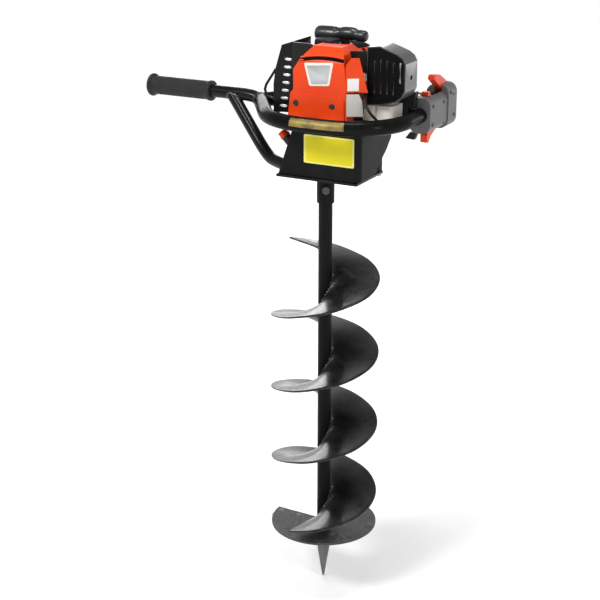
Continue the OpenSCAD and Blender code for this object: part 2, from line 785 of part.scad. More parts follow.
module air_side(d) {
  polygon([[90, 129 + d], [116, 131 + d], [140, 137 + d], [152 - 0.4 * d, 145 + 0.6 * d], [158 - d, 157],
    [158 - d, 200], [153 - 0.6 * d, 209 - 0.6 * d], [144, 215 - d], [112, air_top - d],
    [90, air_top - 3 - d]]);
}

module air_cleaner_cover() {
  color(black) difference() {
    along(-34, 12) air_side(0);
    along(-34 + wall, 12 - wall) air_side(wall);
    translate([86, -34 + wall, 131.5]) cube([10, 46 - 2 * wall, 89]);
    translate([146, -11, 176]) rotate([0, 90, 0]) cylinder(r = 4, h = 20, $fn = 32);
  }
}

// plan of the tank's arm beside the engine, grown inwards by d
module tank_arm(d) {
  soft_rect(95 + d, -20 + d, 131 - d, 100 - d, 10);
  translate([66 + d, 84 + d]) square([42 - 2 * d, 30 - 2 * d]);
}

module fuel_tank() {
  color(cream) difference() {
    union() {
      translate([0, 0, 76]) linear_extrude(tank_h) soft_rect(-18, tank_front, 84, 141, 12);
      translate([0, 0, 100]) linear_extrude(27) tank_arm(0);
      translate([6, 121, 76 + tank_h - 1]) cylinder(r = 13, h = 9);
      translate([62, 112, 76 + tank_h - 1]) cylinder(r = 4, h = 5, $fn = 32);
    }
    translate([0, 0, 76 + wall]) linear_extrude(tank_h - 2 * wall)
      soft_rect(-18 + wall, tank_front + wall, 84 - wall, 141 - wall, 10);
    translate([0, 0, 100 + wall]) linear_extrude(27 - 2 * wall) tank_arm(wall);
    translate([6, 121, 76 + tank_h - 6]) cylinder(r = 10, h = 20);
  }
}

module fuel_cap() {
  color(black) translate([6, 121, 76 + tank_h]) difference() {
    union() {
      translate([0, 0, 0.5]) cylinder(r = cap_r, h = 15);
      translate([-cap_r + 2, -2.5, 15]) cube([2 * cap_r - 4, 5, 5]);
    }
    translate([0, 0, -1]) cylinder(r = 13 + run_gap, h = 10);
  }
}

module fuel_hose() {
  z = 76 + tank_h;
  color(dark) cord([[62, 112, z + 4], [62, 112, z + 12], [80, 96, z + 10], [90, 50, 136],
    [88, 14, 126], [88, -12, 126],
    [88, -12, 133.98]], 2.5);
}

// outline of the throttle shell
module shell_form() {
  along(shell_front, shell_back - 32)
    soft_rect(hoop_right - shell_w, shell_low, hoop_right + shell_w, shell_high, 14);
  along(shell_back - 36, shell_back)
    soft_rect(hoop_right - shell_w - 2, shell_low - 4, hoop_right + shell_w + 2, shell_high + 11, 16);
}

module throttle_shells() {
  slot_w = lever_w + 2 * swing_gap;
  color(dark) difference() {
    shell_form();
    hoop_path(hoop_r + seat_gap);
    translate([hoop_right - slot_w / 2, trigger_y - 50, 60]) cube([slot_w, 58, 33]);
    translate([hoop_right - slot_w / 2, lockout_y - 58, 119]) cube([slot_w, 66, 60]);
    translate([hoop_right - 4, switch_y, 122]) cube([8, 13, 20]);
    translate([hoop_right - 30, trigger_y, 85]) rotate([0, 90, 0])
      cylinder(r = 2.5 + run_gap, h = 60, $fn = 32);
    translate([hoop_right - 30, lockout_y, 128]) rotate([0, 90, 0])
      cylinder(r = 2.5 + run_gap, h = 60, $fn = 32);
    translate([hoop_right - 0.2, shell_front - 10, 0]) cube([0.4, shell_back - shell_front, 92]);
  }
}

module throttle_trigger() {
  color(orange) translate([0, trigger_y, 0]) {
    across(hoop_right - lever_w / 2, hoop_right + lever_w / 2)
      polygon([[6, 83], [3, 90], [-2, 90], [-20, 80], [-36, 78], [-42, 70], [-42, 58], [-35, 56], [-26, 66],
        [-12, 72], [0, 76], [5, 79]]);
    translate([hoop_right - shell_w + 4, 0, 85]) rotate([0, 90, 0])
      cylinder(r = 2.5, h = 2 * shell_w - 8, $fn = 32);
  }
}

module lockout_lever() {
  color(orange) translate([0, lockout_y, 0]) {
    across(hoop_right - lever_w / 2, hoop_right + lever_w / 2)
      polygon([[5, 124], [6, 140], [-2, 151], [-28, 164], [-48, 166], [-52, 160], [-40, 152], [-20, 140],
        [-6, 124]]);
    translate([hoop_right - shell_w + 4, 0, 128]) rotate([0, 90, 0])
      cylinder(r = 2.5, h = 2 * shell_w - 8, $fn = 32);
  }
}

module stop_switch() {
  color(orange) translate([hoop_right, switch_y, 0]) {
    translate([-3.5, 1.5, 124]) cube([7, 6, 14]);
    translate([-lever_w / 2, -0.5, shell_high + 0.4]) cube([lever_w, 10, 7]);
  }
}

module throttle_cable() {
  color(black) cord([[146, shell_front - 0.05, 90], [146, shell_front - 10, 90], [146, -40, 90],
    [136, -56, 98], [104, -58, 124], [89, -46, 145], [88, -38, 147], [88, -29.05, 147]], 2.2);
}

// one length of the helical plate, from one angle down to another
module flight(a_high, a_low) {
  n = ceil((a_high - a_low) / 360 * flight_seg);
  r_in = tube_r + 0.03;
  function at(i, r, dz) =
    let (a = a_low + (a_high - a_low) * i / n)
    [r * cos(a), r * sin(a), ref_z + flight_pitch * (a - ref_angle) / 360 + dz];
  pts = [for (i = [0 : n]) each [at(i, r_in, -flight_t / 2), at(i, bit_r, -flight_t / 2),
    at(i, bit_r, flight_t / 2), at(i, r_in, flight_t / 2)]];
  faces = concat([[0, 1, 2], [0, 2, 3], [4 * n, 4 * n + 2, 4 * n + 1], [4 * n, 4 * n + 3, 4 * n + 2]],
    [for (i = [0 : n - 1]) for (k = [0 : 3]) each
      let (p = 4 * i + k, q = 4 * i + (k + 1) % 4) [[p, p + 4, q], [q, p + 4, q + 4]]]);
  color(black) polyhedron(pts, faces, convexity = 6);
}

module flight_1() {
  flight(top_angle, top_angle - turn_angle);
}

module flight_2() {
  flight(top_angle - turn_angle, top_angle - 2 * turn_angle);
}

module flight_3() {
  flight(top_angle - 2 * turn_angle, top_angle - 3 * turn_angle);
}

module flight_4() {
  flight(top_angle - 3 * turn_angle, low_angle);
}

module bit_tube() {
  color(black) difference() {
    union() {
      translate([0, 0, socket_low]) cylinder(r = socket_r, h = -1.5 - socket_low);
      translate([0, 0, cutter_z - 7]) cylinder(r = tube_r, h = socket_low - cutter_z + 8);
    }
    translate([0, 0, -46]) cylinder(r = shaft_r + seat_gap, h = 60);
    translate([0, 0, cutter_z - 20]) cylinder(r = tube_bore_r, h = socket_low - cutter_z + 12);
    rotate([0, 0, bolt_turn]) translate([-30, 0, -28]) rotate([0, 90, 0])
      cylinder(r = 4 + seat_gap, h = 60, $fn = 32);
  }
}

module coupling_bolt() {
  color(steel) rotate([0, 0, bolt_turn]) translate([0, 0, -28]) rotate([0, 90, 0]) {
    translate([0, 0, -22]) cylinder(r = 4, h = 40, $fn = 32);
    translate([0, 0, socket_r + 0.1]) hex(7, 5.5);
    translate([0, 0, -socket_r - 6.6]) hex(7, 6.5);
  }
}

module cutter_plate() {
  color(black) difference() {
    rotate([0, 0, 178]) rotate_extrude(angle = 240, $fn = 96) translate([tube_r + 0.03, cutter_z - 4])
      square([bit_r - tube_r - 0.03, 4]);
    for (x = [48, 84]) rotate([0, 0, 178]) translate([x, 9, cutter_z - 10])
      cylinder(r = 4 + seat_gap, h = 20, $fn = 32);
  }
}

module cutter_blade() {
  color(steel) rotate([0, 0, 178]) difference() {
    across(bit_r + 2 - blade_len, bit_r + 2)
      polygon([[-11, cutter_z - 11], [22, cutter_z - 9], [22, cutter_z - 4.02], [-4, cutter_z - 4.02]]);
    for (x = [48, 84]) translate([x, 9, cutter_z - 20]) cylinder(r = 4 + seat_gap, h = 40, $fn = 32);
  }
}

module blade_bolts() {
  color(steel) rotate([0, 0, 178]) for (x = [48, 84]) translate([x, 9, cutter_z]) {
    translate([0, 0, -16]) cylinder(r = 4, h = 16, $fn = 32);
    translate([0, 0, -16.5]) hex(6.5, 5);
  }
}

// twisted flat point under a round shank
module pilot_point() {
  n = 20;
  top = cutter_z - 14;
  function slice(i) =
    let (u = i / n, a = 35 + 230 * u, w = 10.5 - 8.3 * u, t = 5 - 3.4 * u, z = top + (tip_z - top) * u)
    [for (c = [[-w, -t], [w, -t], [w, t], [-w, t]])
      [c[0] * cos(a) - c[1] * sin(a), c[0] * sin(a) + c[1] * cos(a), z]];
  pts = [for (i = [0 : n]) each slice(i)];
  faces = concat([[0, 2, 1], [0, 3, 2], [4 * n, 4 * n + 1, 4 * n + 2], [4 * n, 4 * n + 2, 4 * n + 3]],
    [for (i = [0 : n - 1]) for (k = [0 : 3]) each
      let (p = 4 * i + k, q = 4 * i + (k + 1) % 4) [[p, q, p + 4], [q, q + 4, p + 4]]]);
  color(steel) {
    translate([0, 0, top]) cylinder(r = tube_r, h = 6.9);
    translate([0, 0, cutter_z - 8]) cylinder(r = tube_bore_r - seat_gap, h = 20);
    polyhedron(pts, faces, convexity = 4);
  }
}

base_plate();
skirt();
deck_plate();
hoop();
handle_tube();
handle_brace();
handle_grip();
gearbox_lower();
gearbox_upper();
gearbox_bolts();
base_bolts();
oil_plug();
bearings();
oil_seal();
output_shaft();
output_gear();
bit_tube();
coupling_bolt();
flight_1();
flight_2();
flight_3();
flight_4();
cutter_plate();
cutter_blade();
blade_bolts();
pilot_point();
layshaft();
layshaft_gear();
clutch_drum();
input_pinion();
clutch_shoes();
crankshaft();
flywheel_fan();
fan_housing();
crankcase();
cylinder_node();  // cylinder
cylinder_cover();
cover_screws();
recoil_housing();
starter_handle();
spark_plug();
plug_cap();
ignition_coil();
ignition_lead();
muffler();
muffler_guard();
intake_block();
carburettor();
choke_lever();
air_cleaner_base();
air_filter();
air_cleaner_cover();
fuel_tank();
fuel_cap();
fuel_hose();
throttle_shells();
throttle_trigger();
lockout_lever();
stop_switch();
throttle_cable();
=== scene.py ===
"""Looks of an earth auger: finishes for the solids, and finer surfaces for what shows most."""
import json
import math

import bmesh
import bpy
import numpy as np
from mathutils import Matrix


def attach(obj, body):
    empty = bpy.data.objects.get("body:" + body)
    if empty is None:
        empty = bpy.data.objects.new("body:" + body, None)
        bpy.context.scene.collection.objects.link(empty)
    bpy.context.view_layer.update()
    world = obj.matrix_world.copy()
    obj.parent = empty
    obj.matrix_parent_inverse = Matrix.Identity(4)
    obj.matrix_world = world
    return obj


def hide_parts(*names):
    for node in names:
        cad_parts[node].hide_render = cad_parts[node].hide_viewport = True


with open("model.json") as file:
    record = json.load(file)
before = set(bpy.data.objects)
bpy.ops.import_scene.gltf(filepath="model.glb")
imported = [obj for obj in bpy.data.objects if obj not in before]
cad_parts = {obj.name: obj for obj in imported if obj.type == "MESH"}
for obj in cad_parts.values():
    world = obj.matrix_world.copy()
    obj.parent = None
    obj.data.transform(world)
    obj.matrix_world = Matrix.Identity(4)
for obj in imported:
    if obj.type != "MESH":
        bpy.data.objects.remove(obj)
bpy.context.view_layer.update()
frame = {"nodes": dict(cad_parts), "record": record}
solids = frame["nodes"]
record = frame["record"]
NODE_SLOT = {part["node"]: part["material_slot"] for part in record["subparts"]}
NODE_BODY = {node: body for body, nodes in record["behaviour"]["bodies"].items() for node in nodes}
TURN = 2 * math.pi
MM = 0.001

# Places that several pieces share, in millimetres

ENGINE = (15.0, 40.0)
COVER_FRONT = -62.0
HANDLE_Y = 21.0
HANDLE_LEVEL = 113.0
HANDLE_R = 11.0
HOOP_R = 12.5
HOOP_LEVEL = 106.0
HOOP_FRONT = -119.0
SIDE_BEND = 115.0
SIDE_X = 17.4
SIDE_Y = HOOP_FRONT + SIDE_BEND
FRONT_BEND = 96.0
FRONT_X = 61.0
FRONT_Y = HOOP_FRONT + FRONT_BEND


# Camera, light and floor

AWAY = (-0.469, 0.883, 0.0)
FLOOR_LEVEL = -0.7775
LAMPS = (
    ("over_front", (-0.9, -2.2, 2.0), (0.0, 0.0, 0.0), 0.9, 0.7, 60.0),
    ("overhead", (0.15, -0.15, 2.3), (0.05, 0.0, 0.0), 0.7, 0.5, 26.0),
    ("fill_right", (2.5, -1.0, 0.7), (0.0, 0.0, -0.1), 0.5, 1.4, 17.0),
    ("far_right", (1.3, 2.5, 0.1), (0.1, 0.0, 0.12), 0.8, 0.8, 6.0),
    ("low_behind", (-1.9, 2.2, 0.7), (0.0, 0.0, -0.35), 2.2, 1.2, 33.0))


def place_camera():
    """Camera at the photograph's angle: 28 degrees to the right, 19.4 degrees above."""
    data = bpy.data.cameras.new("camera")
    data.sensor_width = 36.0
    data.lens = 86.8
    camera = bpy.data.objects.new("camera", data)
    camera.location = (1.0802, -2.1246, 0.6082)
    camera.rotation_euler = (math.radians(70.614), 0.0, math.radians(28.0))
    bpy.context.scene.collection.objects.link(camera)
    bpy.context.scene.camera = camera


def soft_light(name, spot, target, width, height, watts):
    """Rectangular lamp at spot, turned so that it faces target."""
    data = bpy.data.lights.new(name, "AREA")
    data.shape = "RECTANGLE"
    data.size = width
    data.size_y = height
    data.energy = watts
    lamp = bpy.data.objects.new(name, data)
    lamp.location = spot
    aim = np.array(target, float) - np.array(spot, float)
    flat = math.hypot(aim[0], aim[1])
    lamp.rotation_euler = (math.atan2(flat, -aim[2]), 0.0, math.atan2(aim[1], aim[0]) - math.pi / 2)
    bpy.context.scene.collection.objects.link(lamp)


def light_studio():
    """Surround that is bright low behind the object and dim in front and above, and five soft lamps: over
    the front, overhead, on the right, far behind on the right, and low behind for the bit."""
    world = bpy.data.worlds.new("studio")
    world.use_nodes = True
    tree = world.node_tree
    facing = add(tree, "TexCoord")
    lean = add(tree, "VectorMath", {0: facing.outputs["Generated"], 1: AWAY}, operation="DOT_PRODUCT")
    glow = add(tree, "MapRange", {"Value": lean.outputs["Value"], "From Min": -0.7, "From Max": 0.8,
                                  "To Min": 0.34, "To Max": 1.0})
    tilt = add(tree, "SeparateXYZ", {0: facing.outputs["Generated"]})
    fade = add(tree, "MapRange", {"Value": tilt.outputs["Z"], "From Min": 0.05, "From Max": 0.65,
                                  "To Min": 1.0, "To Max": 0.3})
    dome = add(tree, "Math", {0: glow.outputs[0], 1: fade.outputs[0]}, operation="MULTIPLY")
    sky = tree.nodes["Background"]
    sky.inputs["Color"].default_value = (1.0, 1.0, 1.0, 1.0)
    tree.links.new(dome.outputs[0], sky.inputs["Strength"])
    bpy.context.scene.world = world
    for lamp in LAMPS:
        soft_light(*lamp)
    bpy.context.scene.view_settings.view_transform = "Standard"


def make_floor():
    """Pale floor that glows white further out, so that only a soft shadow shows under the object."""
    bpy.ops.mesh.primitive_plane_add(size=40, location=(0, 0, FLOOR_LEVEL))
    floor = bpy.context.object
    floor.name = "floor"
    made = bpy.data.materials.new("floor_pale")
    made.use_nodes = True
    tree = made.node_tree
    skin = tree.nodes["Principled BSDF"]
    skin.inputs["Base Color"].default_value = (0.86, 0.86, 0.86, 1.0)
    skin.inputs["Roughness"].default_value = 0.9
    spot = add(tree, "TexCoord")
    reach = add(tree, "VectorMath", {0: spot.outputs["Object"]}, operation="LENGTH")
    far = add(tree, "MapRange", {"Value": reach.outputs["Value"], "From Min": 0.2, "From Max": 2.2,
                                 "To Min": 0.4, "To Max": 1.0})
    glow = blended(tree, far.outputs[0], grey(0.0), grey(1.0))
    tree.links.new(glow, skin.inputs["Emission Color"])
    skin.inputs["Emission Strength"].default_value = 0.75
    floor.data.materials.append(made)


# Mesh helpers, all in millimetres

SHARP_ANGLE = 35.0


def make_piece(name, points, faces, material, body, sharp=SHARP_ANGLE):
    """Object from points in millimetres and faces, smooth except at edges sharper than the given angle."""
    mesh = bpy.data.meshes.new(name)
    mesh.from_pydata((np.asarray(points, float) * MM).tolist(), [], faces)
    form = bmesh.new()
    form.from_mesh(mesh)
    bmesh.ops.remove_doubles(form, verts=form.verts, dist=1e-7)
    bmesh.ops.recalc_face_normals(form, faces=form.faces)
    form.to_mesh(mesh)
    form.free()
    mesh.shade_smooth()
    mesh.set_sharp_from_angle(angle=math.radians(sharp))
    piece = bpy.data.objects.new(name, mesh)
    bpy.context.scene.collection.objects.link(piece)
    mesh.materials.append(material)
    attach(piece, body)
    return piece


def grid_faces(rows, columns, wrap_rows=False, wrap_columns=False):
    """Four-sided faces of a grid of points; a wrapped direction also joins its last to its first."""
    index = np.arange(rows * columns).reshape(rows, columns)
    here = index if wrap_rows else index[:-1]
    there = np.roll(index, -1, 0) if wrap_rows else index[1:]
    if wrap_columns:
        sides = (here, np.roll(here, -1, 1), np.roll(there, -1, 1), there)
    else:
        sides = (here[:, :-1], here[:, 1:], there[:, 1:], there[:, :-1])
    return np.stack(sides, -1).reshape(-1, 4).tolist()


def tube_faces(rows, columns):
    """Faces of a closed skin round a path: wrapped columns, and one flat face at each end."""
    ends = [list(range(columns))[::-1], list(range((rows - 1) * columns, rows * columns))]
    return grid_faces(rows, columns, wrap_columns=True) + ends


def add_skin(name, grid, material, body, closed=False):
    """Piece from a grid of rows round a path, closed into a loop or with flat ends."""
    rows, columns = grid.shape[:2]
    faces = grid_faces(rows, columns, True, True) if closed else tube_faces(rows, columns)
    piece = make_piece(name, grid.reshape(-1, 3), faces, material, body)
    return piece


def add_copies(name, points, material, body, wrap=False, sharp=SHARP_ANGLE):
    """Piece from several grids of one size: copies by rows by columns, the columns wrapped if asked."""
    copies, rows, columns = points.shape[:3]
    one = np.array(grid_faces(rows, columns, wrap_columns=wrap))
    shift = rows * columns * np.arange(copies)[:, None, None]
    faces = (one + shift).reshape(-1, 4).tolist()
    return make_piece(name, points.reshape(-1, 3), faces, material, body, sharp)


def add_sheet(name, front, back, material):
    """Thin piece of the cover from a front and a back grid of one size, joined round the rim."""
    rows, columns = front.shape[:2]
    count = rows * columns
    index = np.arange(count).reshape(rows, columns)
    rim = np.concatenate([index[:-1, 0], index[-1, :-1], index[:0:-1, -1], index[0, :0:-1]])
    after = np.roll(rim, -1)
    face = np.array(grid_faces(rows, columns))
    edge = np.stack([rim, after, after + count, rim + count], 1)
    faces = np.concatenate([face, face[:, ::-1] + count, edge]).tolist()
    points = np.concatenate([front.reshape(-1, 3), back.reshape(-1, 3)])
    piece = make_piece(name, points, faces, material, "powerhead")


def full_turn(count):
    """Angles spread evenly round a circle."""
    return np.linspace(0, TURN, count, endpoint=False)


def ring(radius, count):
    """Points of a circle as side and up offsets."""
    angle = full_turn(count)
    return np.stack([radius * np.cos(angle), radius * np.sin(angle)], 1)


def turned(centre, radius, angle, level):
    """Points at a radius and an angle round an upright axis through centre, at a level."""
    x = centre[0] + radius * np.cos(angle)
    y = centre[1] + radius * np.sin(angle)
    return np.stack(np.broadcast_arrays(x, y, level), -1)


def round_bar(x, y, z, radius, angle):
    """Grid of a bar along x: each row is a circle round the place that x, y and z give."""
    across = y + radius * np.cos(angle)
    rise = z + radius * np.sin(angle)
    return np.stack(np.broadcast_arrays(x[:, None], across, rise), -1)


def signed_power(value, power):
    """Power of a number's size, with the number's sign: it turns a circle into an oblong or a blade."""
    return np.sign(value) * np.abs(value) ** power


def stacked_outlines(outline, rows):
    """Grid of an outline of x and z: each row grows it about its middle and sets it at a depth."""
    middle = outline.mean(0)
    return np.stack([np.insert(middle + (outline - middle) * grow, 1, y, axis=1) for grow, y in rows])


def path_frames(path, closed=False):
    """Unit vectors across a path, whose tangent lies halfway between the runs before and after: a side that
    is level with the floor, and an up that is square to both."""
    ahead = np.roll(path, -1, 0) - path
    ahead /= np.maximum(np.linalg.norm(ahead, axis=1, keepdims=True), 1e-9)
    behind = np.roll(ahead, 1, 0)
    if not closed:
        ahead[-1] = ahead[-2]
        behind[0] = ahead[0]
    tangent = ahead + behind
    tangent /= np.linalg.norm(tangent, axis=1, keepdims=True)
    side = np.cross(tangent, [0.0, 0.0, 1.0])
    length = np.linalg.norm(side, axis=1, keepdims=True)
    side = np.where(length > 0.05, side / np.maximum(length, 1e-6), [1.0, 0.0, 0.0])
    side -= tangent * np.sum(side * tangent, axis=1, keepdims=True)
    side /= np.linalg.norm(side, axis=1, keepdims=True)
    return side, np.cross(side, tangent)


def swept(path, profile, closed=False):
    """Profile of side and up offsets carried along a path, as a grid with one row for each path point."""
    side, up = path_frames(path, closed)
    return path[:, None] + profile[..., :1] * side[:, None] + profile[..., 1:] * up[:, None]


def even_line(points, count):
    """Points spread evenly by length along straight runs between the given ones."""
    points = np.asarray(points, float)
    reach = np.concatenate([[0.0], np.cumsum(np.linalg.norm(np.diff(points, axis=0), axis=1))])
    place = np.linspace(0, reach[-1], count)
    return np.stack([np.interp(place, reach, points[:, axis]) for axis in range(3)], 1)


def eased_line(points, count, rounds):
    """Even line whose inner points move, over and over, a quarter of the way to their neighbours' middle,
    so that its corners become bends; the first and last runs keep their direction."""
    line = even_line(points, count)
    for _ in range(rounds):
        line[2:-2] += 0.25 * (0.5 * (line[1:-3] + line[3:-1]) - line[2:-2])
    return line


# Shader groups and finishes

DUST_TONE = (0.42, 0.38, 0.33)
GRAIN_HEIGHT = 0.0006
COAT_ROUGHNESS = 0.12


def add(tree, kind, inputs=None, **settings):
    """Node of a kind, with its settings, whose inputs are numbers, colours or other nodes' sockets."""
    made = tree.nodes.new("ShaderNode" + kind)
    for key, value in settings.items():
        setattr(made, key, value)
    for key, value in (inputs or {}).items():
        if isinstance(value, bpy.types.NodeSocket):
            tree.links.new(value, made.inputs[key])
        else:
            made.inputs[key].default_value = value
    return made


def open_group(name, inputs, outputs):
    """Empty shader group with named number inputs and outputs."""
    tree = bpy.data.node_groups.new(name, "ShaderNodeTree")
    for label, value in inputs.items():
        socket = tree.interface.new_socket(label, in_out="INPUT", socket_type="NodeSocketFloat")
        socket.default_value = value
    for label in outputs:
        tree.interface.new_socket(label, in_out="OUTPUT", socket_type="NodeSocketFloat")
    return tree, tree.nodes.new("NodeGroupInput"), tree.nodes.new("NodeGroupOutput")


def make_edge_rub():
    """Mask of rubbed edges: how far a rounded normal leans from the true one, broken up by noise."""
    tree, given, out = open_group("edge_rub", {"Radius": 0.002, "Gain": 3.0, "Scale": 90.0}, ["Mask"])
    spot = add(tree, "TexCoord")
    soft = add(tree, "Bevel", {"Radius": given.outputs["Radius"]}, samples=6)
    true = add(tree, "NewGeometry")
    lean = add(tree, "VectorMath", {0: soft.outputs[0], 1: true.outputs["Normal"]}, operation="DOT_PRODUCT")
    bare = add(tree, "Math", {0: 1.0, 1: lean.outputs["Value"]}, operation="SUBTRACT")
    gain = add(tree, "Math", {0: bare.outputs[0], 1: given.outputs["Gain"]}, operation="MULTIPLY")
    noise = add(tree, "TexNoise", {"Vector": spot.outputs["Object"], "Scale": given.outputs["Scale"],
                                   "Detail": 4.0})
    broken = add(tree, "MapRange", {"Value": noise.outputs["Fac"], "From Min": 0.42, "From Max": 0.68})
    mask = add(tree, "Math", {0: gain.outputs[0], 1: broken.outputs[0]}, operation="MULTIPLY",
               use_clamp=True)
    tree.links.new(mask.outputs[0], out.inputs["Mask"])
    return tree


def make_skin_grain():
    """Fine moulded or sprayed grain as a height, and a slow mottle for colour and gloss."""
    tree, given, out = open_group("skin_grain", {"Scale": 900.0, "Mottle Scale": 22.0},
                                  ["Height", "Mottle"])
    spot = add(tree, "TexCoord")
    fine = add(tree, "TexNoise", {"Vector": spot.outputs["Object"], "Scale": given.outputs["Scale"],
                                  "Detail": 3.0})
    slow = add(tree, "TexNoise", {"Vector": spot.outputs["Object"], "Scale": given.outputs["Mottle Scale"],
                                  "Detail": 5.0, "Roughness": 0.6})
    spread = add(tree, "MapRange", {"Value": slow.outputs["Fac"], "From Min": 0.3, "From Max": 0.7})
    tree.links.new(fine.outputs["Fac"], out.inputs["Height"])
    tree.links.new(spread.outputs[0], out.inputs["Mottle"])
    return tree


def make_settled_dust():
    """Mask of dust that settles on faces that look up, patchy by noise."""
    tree, given, out = open_group("settled_dust", {"Amount": 0.3, "Scale": 35.0}, ["Mask"])
    spot = add(tree, "TexCoord")
    facing = add(tree, "SeparateXYZ", {0: spot.outputs["Normal"]})
    level = add(tree, "MapRange", {"Value": facing.outputs["Z"], "From Min": 0.35, "From Max": 1.0})
    noise = add(tree, "TexNoise", {"Vector": spot.outputs["Object"], "Scale": given.outputs["Scale"],
                                   "Detail": 6.0})
    patch = add(tree, "MapRange", {"Value": noise.outputs["Fac"], "From Min": 0.4, "From Max": 0.75})
    both = add(tree, "Math", {0: level.outputs[0], 1: patch.outputs[0]}, operation="MULTIPLY")
    mask = add(tree, "Math", {0: both.outputs[0], 1: given.outputs["Amount"]}, operation="MULTIPLY",
               use_clamp=True)
    tree.links.new(mask.outputs[0], out.inputs["Mask"])
    return tree


EDGE_RUB = make_edge_rub()
SKIN_GRAIN = make_skin_grain()
SETTLED_DUST = make_settled_dust()


def grey(level):
    """Colour with no hue."""
    return (level, level, level)


def blended(tree, mask, first, second):
    """Colour that goes from the first to the second by a mask."""
    mix = add(tree, "Mix", {"Factor": mask}, data_type="RGBA")
    for key, value in (("A", first), ("B", second)):
        socket = [s for s in mix.inputs if s.name == key and s.type == "RGBA"][0]
        if isinstance(value, bpy.types.NodeSocket):
            tree.links.new(value, socket)
        else:
            socket.default_value = (*value, 1.0)
    return [s for s in mix.outputs if s.type == "RGBA"][0]


def finish(name, colour, shade, rough, metal=0.0, coat=0.0, grain=900.0, depth=0.05, rub=None, rub_gain=2.5,
           rub_metal=0.0, dust=0.06, mottle=22.0, spread=0.1, specular=0.5):
    """Finish that mottles between two tones, whose edges rub to a third and whose tops hold dust."""
    made = bpy.data.materials.new(name)
    made.use_nodes = True
    tree = made.node_tree
    skin = tree.nodes["Principled BSDF"]
    grains = add(tree, "Group", node_tree=SKIN_GRAIN)
    grains.inputs["Scale"].default_value = grain
    grains.inputs["Mottle Scale"].default_value = mottle
    tone = blended(tree, grains.outputs["Mottle"], colour, shade)
    if rub is not None:
        edge = add(tree, "Group", node_tree=EDGE_RUB)
        edge.inputs["Gain"].default_value = rub_gain
        tone = blended(tree, edge.outputs["Mask"], tone, rub)
        if rub_metal > 0:
            shine = add(tree, "MapRange", {"Value": edge.outputs["Mask"], "To Min": metal,
                                           "To Max": rub_metal})
            tree.links.new(shine.outputs[0], skin.inputs["Metallic"])
    if rub is None or rub_metal == 0:
        skin.inputs["Metallic"].default_value = metal
    film = add(tree, "Group", node_tree=SETTLED_DUST)
    film.inputs["Amount"].default_value = dust
    tone = blended(tree, film.outputs["Mask"], tone, DUST_TONE)
    tree.links.new(tone, skin.inputs["Base Color"])
    gloss = add(tree, "MapRange", {"Value": grains.outputs["Mottle"], "To Min": rough - spread / 2,
                                   "To Max": rough + spread / 2})
    matt = add(tree, "Math", {0: gloss.outputs[0], 1: film.outputs["Mask"]}, operation="ADD",
               use_clamp=True)
    tree.links.new(matt.outputs[0], skin.inputs["Roughness"])
    relief = add(tree, "Bump", {"Height": grains.outputs["Height"], "Strength": depth,
                                "Distance": GRAIN_HEIGHT})
    tree.links.new(relief.outputs[0], skin.inputs["Normal"])
    skin.inputs["Coat Weight"].default_value = coat
    skin.inputs["Coat Roughness"].default_value = COAT_ROUGHNESS
    skin.inputs["Specular IOR Level"].default_value = specular
    return made


BLACK_PAINT = finish("black_paint", (0.0045, 0.0045, 0.005), (0.008, 0.008, 0.0085), 0.27, coat=0.07,
                     grain=700.0, depth=0.05, rub=grey(0.16), rub_gain=0.8, rub_metal=0.5, dust=0.02,
                     specular=0.13)
HOOP_PAINT = finish("hoop_paint", (0.0045, 0.0045, 0.005), (0.008, 0.008, 0.0085), 0.3, coat=0.08,
                    grain=700.0, depth=0.02, rub=grey(0.16), rub_gain=0.2, rub_metal=0.5, dust=0.02,
                    specular=0.015)
MATT_BLACK = finish("matt_black", (0.005, 0.005, 0.0055), (0.009, 0.009, 0.0095), 0.42, grain=700.0,
                    depth=0.12, rub=grey(0.14), rub_gain=0.8, rub_metal=0.5, dust=0.02, specular=0.08)
FLIGHT_PAINT = finish("flight_paint", (0.005, 0.005, 0.0055), (0.011, 0.011, 0.012), 0.35, coat=0.38,
                      grain=420.0, depth=0.24, rub=(0.38, 0.38, 0.37), rub_gain=2.2, rub_metal=0.9,
                      dust=0.04, mottle=130.0, spread=0.2, specular=0.25)
CUTTER_PAINT = finish("cutter_paint", grey(0.012), (0.042, 0.042, 0.041), 0.55, grain=300.0, depth=0.8,
                      rub=(0.42, 0.42, 0.41), rub_metal=0.9, dust=0.12, mottle=240.0, spread=0.25)
ORANGE = finish("orange_plastic", (0.80, 0.058, 0.003), (0.72, 0.046, 0.003), 0.38, coat=0.1,
                grain=1300.0, depth=0.03, rub=(0.9, 0.16, 0.05), rub_gain=0.8, dust=0.01, specular=0.22)
BLACK_PLASTIC = finish("black_plastic", (0.008, 0.008, 0.0085), (0.014, 0.014, 0.015), 0.34, grain=1500.0,
                       depth=0.12, rub=grey(0.05), rub_gain=1.5, dust=0.02, specular=0.2)
DARK_PLASTIC = finish("dark_plastic", (0.098, 0.094, 0.096), (0.14, 0.135, 0.136), 0.5, grain=1300.0,
                      depth=0.3, rub=grey(0.15), rub_gain=1.5, dust=0.04, specular=0.35)
GRIP_RUBBER = finish("grip_rubber", (0.012, 0.012, 0.013), (0.020, 0.020, 0.021), 0.58, grain=2200.0,
                     depth=0.3, rub=grey(0.05), rub_gain=1.4, dust=0.04, specular=0.25)
CAST_ALLOY = finish("cast_alloy", (0.50, 0.50, 0.51), (0.40, 0.40, 0.41), 0.5, metal=0.9, grain=800.0,
                    depth=0.5, rub=(0.7, 0.7, 0.71), rub_gain=1.6, dust=0.08)
BARE_STEEL = finish("bare_steel", (0.46, 0.46, 0.47), (0.33, 0.33, 0.34), 0.36, metal=1.0, grain=1100.0,
                    depth=0.15, rub=grey(0.75), rub_gain=1.5, dust=0.05)
